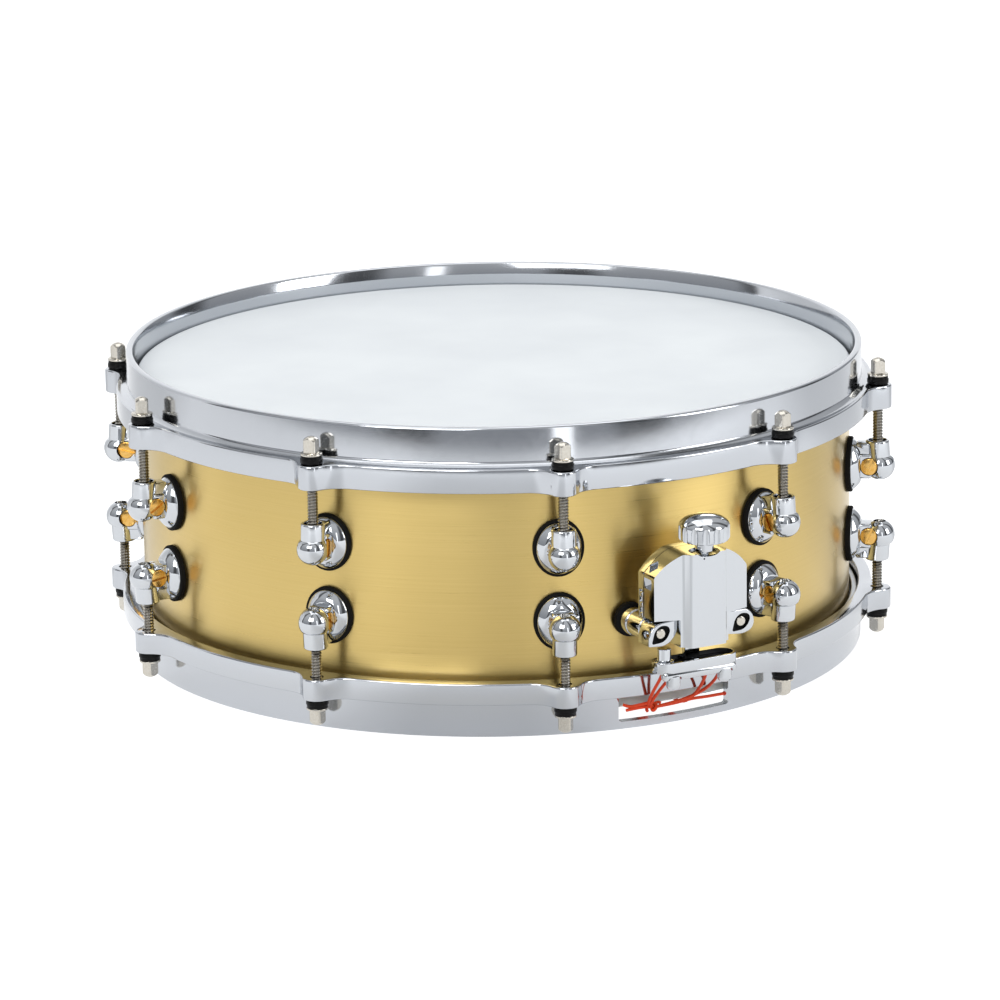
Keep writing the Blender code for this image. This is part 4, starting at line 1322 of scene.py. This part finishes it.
def clamp_bar(name: str, way: float, depths: tuple[float, float], levels: tuple[float, float], screw_x: float,
              body: str, node: str) -> None:
    """Make a clamp's lower bar, round in front, with two key screws that hang below it.

    Args:
        name: the bar's name.
        way: -1 in front of the drum, 1 behind it.
        depths: its back and its front.
        levels: its underside and its top.
        screw_x: how far the screws stand from the middle.
        body: the body that it rides on.
        node: the node that it stands for.
    """
    y = sorted((way * depths[0], way * depths[1]))
    bar = Workpiece(name).block((-20.0, y[0], levels[0]), (20.0, y[1], levels[1]), 2.4, 5).mesh()
    middle = (y[0] + y[1]) / 2.0
    seats = Workpiece("seats")
    for x in (-screw_x, screw_x):
        seat = Workpiece("seat").lathe([(0, levels[0] - 1.0, 0), (4.2, levels[0] - 1.0, 0),
                                        (4.2, levels[0] + 2.2, 0.8), (0, levels[0] + 2.2, 0)], closed=False,
                                        turns=32)
        seats.bm.from_mesh(seat.place(Matrix.Translation((x, middle, 0))).mesh())
    assemble(name, fitted(bar, [(Cut.TAKE, seats.mesh())]), body, Finishes.CHROME, [node])
    for label, x in (("left", -screw_x), ("right", screw_x)):
        low, high = levels[0] - 4.4, levels[0] + 2.4
        screw = Workpiece("screw").lathe([(0, low, 0), (2.4, low, 0.9), (3.4, low + 1.6, 0.7),
                                          (3.4, high, 0.1), (0, high, 0)], closed=False, turns=32).mesh()
        key = Workpiece("key").block((-0.6, -4.0, low - 1.0), (0.6, 4.0, low + 1.2)).mesh()
        spot = Matrix.Translation((x, middle, 0)) @ Matrix.Rotation(0.5 * (x / screw_x), 4, "Z")
        assemble(f"{name}_screw_{label}", fitted(screw, [(Cut.TAKE, key)]), body, Finishes.CHROME,
                 matrix=spot)


@dataclass
class Butt:
    """The butt: a plate screwed to the back of the shell, and a clamp for the far cord."""

    half: float = 15.0
    top: float = -70.0
    bottom: float = -101.7

    def build(self) -> None:
        """Make the plate with its screws, its jaw and the clamp bar."""
        corners = [(-self.half, self.bottom, 0.5), (self.half, self.bottom, 0.5), (self.half, self.top, 4.0),
                   (-self.half, self.top, 4.0)]
        plate = Workpiece("butt").plate(corners, -178.1, -185.9, edge=1.0)
        jaw = Workpiece("jaw").block((-20.0, 184.0, -101.6), (20.0, 202.9, -96.8), 1.3)
        groove = Workpiece("groove").block((-9.5, 184.0, -92.5), (9.5, 188.0, -74.5), 0.6)
        mesh = fitted(plate.mesh(), [(Cut.JOIN, jaw.mesh()), (Cut.TAKE, groove.mesh())])
        assemble("butt_casting", mesh, "drum", Finishes.CHROME, ["butt_plate"])
        for label, level in (("upper", -78.5), ("lower", -88.5)):
            screw = Workpiece("screw").lathe([(0, 183.6, 0), (3.2, 183.6, 0), (3.2, 184.9, 0.5),
                                              (1.2, 185.8, 0.8), (0, 185.9, 0)], closed=False, turns=28)
            screw.place(Matrix.Translation((0, 0, level)) @ Matrix.Rotation(-math.pi / 2.0, 4, "X"))
            slot = Workpiece("slot").block((-4.0, 185.1, level - 0.5), (4.0, 187.0, level + 0.5)).mesh()
            assemble(f"butt_screw_{label}", fitted(screw.mesh(), [(Cut.TAKE, slot)]), "drum", Finishes.NICKEL)
        seal = Workpiece("seal").plate([(-14.4, -100.9, 0.5), (14.4, -100.9, 0.5), (14.4, -70.6, 3.8),
                                        (-14.4, -70.6, 3.8)], -177.2, -178.3)
        assemble("butt_gasket", seal.mesh(), "drum", Finishes.RUBBER)
        clamp_bar("butt_bar", 1.0, (194.1, 202.5), (-108.6, -102.1), 13.9, "drum", "butt_clamp_bar")


# ------------------------------------------------------------------------------------- snare wires and cord


@dataclass
class SnareWires:
    """Twenty coiled wires between two tinned plates. The coils' real pitch of 1.1 mm is drawn as 2 mm."""

    wires: int = 20
    spacing: float = 2.0
    coil: float = 0.53
    wire: float = 0.16
    pitch: float = 2.0
    around: int = 5
    level: float = -131.5
    half_length: float = 152.3
    plate_length: float = 16.0
    eyes: tuple[float, ...] = (-9.0, -3.6, 3.6, 9.0)

    def coil_mesh(self) -> Mesh:
        """Wind one wire: a three-sided section that is spun and carried along.

        Returns:
            One coil's mesh.
        """
        work = Workpiece("coil")
        reach = self.half_length - self.plate_length + 1.5
        turns = int(2.0 * reach / self.pitch)
        edge = bmesh.ops.create_circle(work.bm, segments=3, radius=self.wire)["verts"]
        bmesh.ops.transform(work.bm, verts=edge, matrix=Matrix.Translation((self.coil, 0, -reach))
                            @ Matrix.Rotation(math.pi / 2.0, 4, "X"))
        geom = edge + list({e for v in edge for e in v.link_edges})
        bmesh.ops.spin(work.bm, geom=geom, cent=(0, 0, 0), axis=(0, 0, 1), angle=math.tau * turns,
                       dvec=(0, 0, self.pitch / self.around), steps=self.around * turns, use_merge=False)
        return work.place(Matrix.Rotation(math.pi / 2.0, 4, "X")).mesh()

    def build(self) -> None:
        """Make the coils and their two end plates."""
        coils, single = Workpiece("coils"), self.coil_mesh()
        for number in range(self.wires):
            x = (number - (self.wires - 1) / 2.0) * self.spacing
            step = len(coils.bm.verts)
            coils.bm.from_mesh(single)
            coils.bm.verts.ensure_lookup_table()
            bmesh.ops.translate(coils.bm, vec=(x, 0, self.level), verts=coils.bm.verts[step:])
        mesh = bpy.data.meshes.new("coils")
        coils.bm.to_mesh(mesh)
        coils.bm.free()
        assemble("wire_coils", mesh, "wires", Finishes.SPRING, ["snare_wires"], smooth=60.0)
        half = self.wires * self.spacing / 2.0
        for label, way in (("front", -1.0), ("back", 1.0)):
            far, near = way * self.half_length, way * (self.half_length - self.plate_length)
            outline = [(-half, near, 0.5), (half, near, 0.5), (half, far, 2.5), (-half, far, 2.5)]
            plate = Workpiece("plate").plate(outline, self.level - 0.68, self.level + 0.68, upright=False,
                                             edge=0.2)
            eyes = Workpiece("eyes")
            for x in self.eyes:
                eye = Workpiece("eye").lathe([(0, -2, 0), (1.3, -2, 0), (1.3, 2, 0), (0, 2, 0)], closed=False,
                                             turns=20)
                spot = Matrix.Translation((x, way * (self.half_length - 2.6), self.level))
                eyes.bm.from_mesh(eye.place(spot).mesh())
            assemble(f"wire_plate_{label}", fitted(plate.mesh(), [(Cut.TAKE, eyes.mesh())]), "wires",
                     Finishes.PLATE)


@dataclass
class SnareCord:
    """Thin red cord, tied through the wires' plates and held by the clamps."""

    radius: float = 0.8
    sides: int = 8

    def smooth(self, points: Sequence[Point], between: int = 5) -> list[Vector]:
        """Points in millimetres along a Catmull-Rom curve through the given ones.

        Args:
            points: the points it passes through.
            between: how many steps lie between each two.

        Returns:
            The curve's points.
        """
        listed = [Vector(p) for p in points]
        padded = [listed[0], *listed, listed[-1]]
        route = []
        for a, b, c, d in zip(padded, padded[1:], padded[2:], padded[3:]):
            for t in (k / between for k in range(between)):
                route.append(0.5 * (2.0 * b + (c - a) * t + (2.0 * a - 5.0 * b + 4.0 * c - d) * t * t
                                    + (3.0 * b - a - 3.0 * c + d) * t**3))
        return [*route, listed[-1]]

    def strand(self, name: str, points: Sequence[Point]) -> Mesh:
        """Sweep a round section along a route, and lay a UV map along and round it.

        Args:
            name: the strand's name.
            points: the route, in millimetres.

        Returns:
            The strand's mesh.
        """
        route = self.smooth(points)
        bm = bmesh.new()
        ring = bmesh.ops.create_circle(bm, segments=self.sides, radius=self.radius)["verts"]
        heading = (route[1] - route[0]).normalized()
        turn = Vector((0, 0, 1)).rotation_difference(heading)
        bmesh.ops.transform(bm, matrix=Matrix.Translation(route[0]) @ turn.to_matrix().to_4x4(), verts=ring)
        layer, run, lengths = bm.loops.layers.uv.new("cord"), 0.0, {v: 0.0 for v in ring}
        edges, old = list({e for v in ring for e in v.link_edges}), route[0]
        start = list(ring)
        for k, place in enumerate(route[1:], 1):
            ahead = route[min(k + 1, len(route) - 1)] - route[k - 1]
            bend = heading.rotation_difference(ahead.normalized())
            grown = bmesh.ops.extrude_edge_only(bm, edges=edges)["geom"]
            ring = [v for v in grown if isinstance(v, bmesh.types.BMVert)]
            edges = [e for e in grown if isinstance(e, bmesh.types.BMEdge) and set(e.verts) <= set(ring)]
            carry = Matrix.Translation(place) @ bend.to_matrix().to_4x4() @ Matrix.Translation(-old)
            bmesh.ops.transform(bm, matrix=carry, verts=ring)
            run += (place - old).length
            lengths.update({v: run for v in ring})
            heading, old = ahead.normalized(), place
        for face in bm.faces:
            middle = face.calc_center_median()
            for number, loop in enumerate(face.loops):
                side = (loop.vert.co - middle).cross(heading).length
                loop[layer].uv = (lengths[loop.vert], side * (1.0 if number % 2 else -1.0))
        for loop in (start, ring):
            rim = {e for v in loop for e in v.link_edges if e.other_vert(v) in set(loop)}
            bmesh.ops.contextual_create(bm, geom=list(rim))
        bmesh.ops.recalc_face_normals(bm, faces=bm.faces)
        mesh = bpy.data.meshes.new(name)
        bm.to_mesh(mesh)
        bm.free()
        return mesh

    def hanging(self, name: str, points: Sequence[Point], nodes: Sequence[str]) -> Object:
        """Make a strand that reaches from one body to another, tied to neither, its place baked into its
        mesh.

        Args:
            name: the strand's name.
            points: its route, in millimetres.
            nodes: the nodes that it stands for.

        Returns:
            The strand.
        """
        piece = assemble(name, self.strand(name, points), None, Finishes.CORD, nodes)
        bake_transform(piece)
        return piece

    def knot(self) -> Mesh:
        """Wind the knot: a short fat overhand turn.

        Returns:
            The knot's mesh.
        """
        turn = [(-11.5 + 1.7 * math.cos(a) - 0.45 * a, -186.1 + 1.3 * math.sin(a),
                 -129.3 + 1.5 * math.sin(a + 0.9))
                for a in (math.tau * 1.6 * k / 12 for k in range(13))]
        return self.strand("knot", turn)

    def loose_end(self, points: Sequence[Point]) -> None:
        """Make the cord's free end, which runs from the knot to a melted bead.

        Args:
            points: its route, in millimetres.
        """
        route = self.smooth(points)
        piece = assemble("cord_loose_end", self.strand("loose end", points), "drum", Finishes.CORD)
        bead = Workpiece("bead").lathe([(0, -0.9, 0), (0.9, -0.7, 0.3), (1.15, 0.1, 0.4), (0.8, 0.8, 0.3),
                                        (0, 1.0, 0)],
                                       closed=False, turns=16).mesh()
        spot = Matrix.Translation(route[-1]) @ Matrix.Rotation(math.pi / 2.0, 4, "Y")
        melted = assemble("cord_bead", bead, "drum", Finishes.CORD, matrix=spot)

    def build(self) -> None:
        """Make the front strands, their tie and knot, and the two loops at the back."""
        tails = {
            "left_outer": [(-17.5, -203.0, -105.0), (-17.8, -200.6, -110.5), (-18.2, -194.0, -119.0),
                           (-17.6, -188.4, -126.0), (-15.4, -184.6, -129.2), (-12.6, -181.0, -131.0),
                           (-10.6, -176.0, -131.7)],
            "left_inner": [(-12.5, -203.0, -105.0), (-13.0, -200.6, -111.0), (-15.4, -194.0, -119.6),
                           (-16.4, -188.6, -126.4), (-13.6, -184.6, -129.6), (-10.0, -181.0, -131.0),
                           (-8.4, -176.0, -131.7)],
            "right_inner": [(6.3, -203.0, -105.0), (7.0, -200.6, -111.3), (8.6, -194.0, -118.6),
                            (8.2, -188.6, -124.8), (6.6, -184.8, -128.8), (5.6, -181.0, -130.9),
                            (5.0, -176.0, -131.7)],
            "right_outer": [(13.6, -203.0, -105.0), (14.2, -200.6, -111.5), (15.2, -193.6, -118.6),
                            (12.6, -188.6, -124.0), (5.0, -187.0, -127.2), (-4.0, -186.4, -128.7),
                            (-11.5, -186.2, -129.4)],
        }
        for number, (label, route) in enumerate(tails.items()):
            nodes = ["front_cord"] if number == 0 else []
            self.hanging(f"cord_{label}", route, nodes)
        under = [(-10.6, -176.0, -131.7), (-10.3, -168.0, -131.7), (-9.6, -159.0, -131.7),
                 (-9.0, -151.5, -131.6)]
        for label, shift in (("a", 0.0), ("b", 2.2), ("c", 15.6)):
            route = [(x + shift, y, z) for x, y, z in under]
            assemble(f"cord_under_{label}", self.strand("under", route), "drum", Finishes.CORD)
        tie = [(-28.4, -185.8, -129.0), (-24.0, -186.3, -128.6), (-18.0, -186.2, -128.7),
               (-11.0, -185.9, -129.6)]
        self.loose_end([(-11.5, -185.9, -129.6), (-3.0, -186.2, -129.3), (7.0, -186.4, -128.5),
                        (15.5, -186.2, -128.7), (25.2, -185.8, -128.8)])
        assemble("cord_tie", self.strand("tie", tie), "drum", Finishes.CORD)
        spare = [(-29.6, -185.2, -126.2), (-26.2, -186.0, -127.4), (-21.0, -186.8, -127.0),
                 (-16.4, -187.6, -126.4)]
        assemble("cord_tail", self.strand("tail", spare), "drum", Finishes.CORD)
        assemble("cord_knot", self.knot(), "drum", Finishes.CORD)
        for label, way in (("left", -1.0), ("right", 1.0)):
            leg = [(way * 12.0, 197.5, -102.6), (way * 11.8, 194.5, -106.0), (way * 11.4, 191.6, -113.0),
                   (way * 11.2, 190.6, -119.0), (way * 10.8, 187.0, -126.8), (way * 10.6, 182.6, -129.8),
                   (way * 10.2, 177.0, -131.5), (way * 9.6, 166.0, -131.7), (way * 9.0, 151.5, -131.6)]
            nodes = ["back_cord"] if way < 0.0 else []
            assemble(f"cord_back_{label}", self.strand("back", leg), "drum", Finishes.CORD,
                     nodes)


# ----------------------------------------------------------------------------------------------------- studio


@dataclass
class Studio:
    """A seamless white sweep that glows, large soft lamps, a world with dark bands, dark flags for the chrome
    painted as dimmer wedges in the sweep's reflected glow, and the camera.
    """

    floor_level: float = -0.1397
    camera_place: Point = (-1.154087, -2.229126, 0.593116)
    right: Point = (0.885842, -0.463771, -0.014185)
    up: Point = (0.130976, 0.220613, 0.966527)
    back: Point = (-0.445118, -0.858048, 0.256171)
    lens: float = 185.3
    sensor: float = 36.0
    sight: float = 50.0
    paper_front: float = -4000.0
    paper_back: float = 4200.0
    paper_height: float = 4000.0
    paper_width: float = 12000.0
    paper_curve: float = 900.0

    def camera(self) -> None:
        """Set the camera at its viewing angle."""
        data = bpy.data.cameras.new("camera")
        data.lens, data.sensor_width, data.clip_end = self.lens, self.sensor, self.sight
        eye = bpy.data.objects.new("camera", data)
        bpy.context.scene.collection.objects.link(eye)
        turn = Matrix((self.right, self.up, self.back)).transposed().to_4x4()
        eye.matrix_world = Matrix.Translation(self.camera_place) @ turn
        bpy.context.scene.camera = eye

    def sweep(self) -> None:
        """Lay the paper: a floor that curves up far behind the drum."""
        work = Workpiece("sweep")
        floor, back, half = self.floor_level / MM, self.paper_back, self.paper_width / 2.0
        line = [(self.paper_front, floor, 0), (back, floor, self.paper_curve), (back, self.paper_height, 0)]
        verts = work.wire(line, lambda y, z: (-half, y, z), closed=False, steps=16)
        edges = list({e for v in verts for e in v.link_edges})
        grown = bmesh.ops.extrude_edge_only(work.bm, edges=edges)["geom"]
        moved = [item for item in grown if isinstance(item, bmesh.types.BMVert)]
        bmesh.ops.translate(work.bm, vec=(self.paper_width, 0, 0), verts=moved)
        mesh = bpy.data.meshes.new("sweep")
        for face in work.bm.faces:
            face.smooth = True
        work.bm.normal_update()
        if sum(f.normal.z for f in work.bm.faces) < 0.0:
            bmesh.ops.reverse_faces(work.bm, faces=work.bm.faces)
        work.bm.to_mesh(mesh)
        work.bm.free()
        mesh.transform(Matrix.Scale(MM, 4))
        mesh.materials.append(Finishes.PAPER.material())
        paper = bpy.data.objects.new("paper_sweep", mesh)
        bpy.context.scene.collection.objects.link(paper)

    def lamp(self, name: str, place: Point, size: tuple[float, float], watts: float,
             aim: Point = (0, 0, -0.06)) -> None:
        """Hang a soft box that looks at the drum.

        Args:
            name: the lamp's name.
            place: where it hangs, in metres.
            size: its width and height.
            watts: its power.
            aim: the point that it faces.
        """
        data = bpy.data.lights.new(name, "AREA")
        data.shape, data.size, data.size_y, data.energy = "RECTANGLE", *size, watts
        lamp = bpy.data.objects.new(name, data)
        bpy.context.scene.collection.objects.link(lamp)
        lamp.location = place
        lamp.rotation_euler = (Vector(aim) - Vector(place)).to_track_quat("-Z", "Y").to_euler()

    def surroundings(self) -> None:
        """Fill the room: bright overhead, paler round the sides, with dark gaps between the lamps."""
        world = bpy.data.worlds.new("room")
        bpy.context.scene.world = world
        world.use_nodes = True
        tree = world.node_tree
        tree.nodes.clear()
        way = add_node(tree, "ShaderNodeTexCoord").outputs["Generated"]
        parts = add_node(tree, "ShaderNodeSeparateXYZ", {0: way}).outputs
        lift = add_node(tree, "ShaderNodeMapRange", {"Value": parts["Z"], "From Min": -0.2, "From Max": 0.7,
                                                     "To Min": 0.0, "To Max": 1.0}).outputs["Result"]
        sky = add_node(tree, "ShaderNodeMix", {0: lift, 6: srgb("#9EA2A9"), 7: srgb("#F2F4F6")},
                       data_type="RGBA").outputs[2]
        angle = add_node(tree, "ShaderNodeMath", {0: parts["X"], 1: parts["Y"]},
                         operation="ARCTAN2").outputs[0]
        bands = add_node(tree, "ShaderNodeMath", {0: angle, 1: 5.0}, operation="MULTIPLY").outputs[0]
        wave = add_node(tree, "ShaderNodeMath", {0: bands}, operation="SINE").outputs[0]
        shade = add_node(tree, "ShaderNodeMapRange", {"Value": wave, "From Min": 0.55, "From Max": 0.95,
                                                      "To Min": 1.0, "To Max": 0.22}).outputs["Result"]
        dim = add_node(tree, "ShaderNodeMix", {0: 1.0, 6: sky, 7: shade}, data_type="RGBA",
                       blend_type="MULTIPLY").outputs[2]
        room = add_node(tree, "ShaderNodeBackground", {"Color": dim, "Strength": 0.7}).outputs[0]
        paper = add_node(tree, "ShaderNodeBackground", {"Color": srgb("#FFFFFF"), "Strength": 1.0}).outputs[0]
        seen = add_node(tree, "ShaderNodeLightPath").outputs["Is Camera Ray"]
        both = add_node(tree, "ShaderNodeMixShader", {0: seen, 1: room, 2: paper}).outputs[0]
        add_node(tree, "ShaderNodeOutputWorld", {"Surface": both})

    def build(self) -> None:
        """Set the whole studio."""
        self.camera()
        self.sweep()
        self.surroundings()
        self.lamp("key", (-1.9, -1.5, 1.5), (1.5, 1.2), 34.0)
        self.lamp("fill", (1.6, -1.9, 0.9), (0.9, 1.4), 19.0)
        self.lamp("overhead", (0.1, 0.3, 2.1), (1.8, 1.8), 13.0)
        self.lamp("strip", (-0.35, -2.6, 0.5), (0.28, 1.3), 2.0)
        bpy.context.scene.view_settings.view_transform = "Standard"


def main() -> None:
    """Build the drum from the shell outwards, then light it."""
    logging.basicConfig(level=logging.INFO, format="%(name)s: %(message)s")
    Shell().build()
    Head(Side.BATTER, 0.0, Finishes.COATED, "coated_film").build()
    Head(Side.SNARE, -130.4, Finishes.CLEAR, "clear_film").build()
    batter = [(183.8, 11.4, 1.3), (183.8, -5.7, 0.8), (186.6, -7.5, 0.7), (189.0, -7.5, 0.8),
              (189.0, -19.4, 0.8), (182.5, -19.4, 0.5), (182.5, -5.2, 0.0), (179.2, -5.2, 0.5),
              (179.2, 5.4, 0.6), (180.4, 11.4, 0.9)]
    snare = [(183.8, -139.7, 1.3), (183.8, -122.5, 0.6), (189.0, -122.5, 0.8), (189.0, -111.9, 0.8),
             (182.5, -111.9, 0.5), (182.5, -125.2, 0.0), (179.2, -125.2, 0.5), (179.2, -134.7, 0.6),
             (180.4, -139.7, 0.9)]
    CastHoop(Side.BATTER, batter, "batter_hoop").build()
    CastHoop(Side.SNARE, snare, "snare_side_hoop").build()
    TensionRods(Side.BATTER, -7.2, 47.8).build()
    TensionRods(Side.SNARE, -122.8, 43.9).build()
    lugs = BallLugs()
    lugs.build(Side.BATTER, -49.0)
    lugs.build(Side.SNARE, -84.9)
    Strainer().build()
    Butt().build()
    SnareWires().build()
    SnareCord().build()
    Studio().build()


if __name__ == "__main__":
    main()
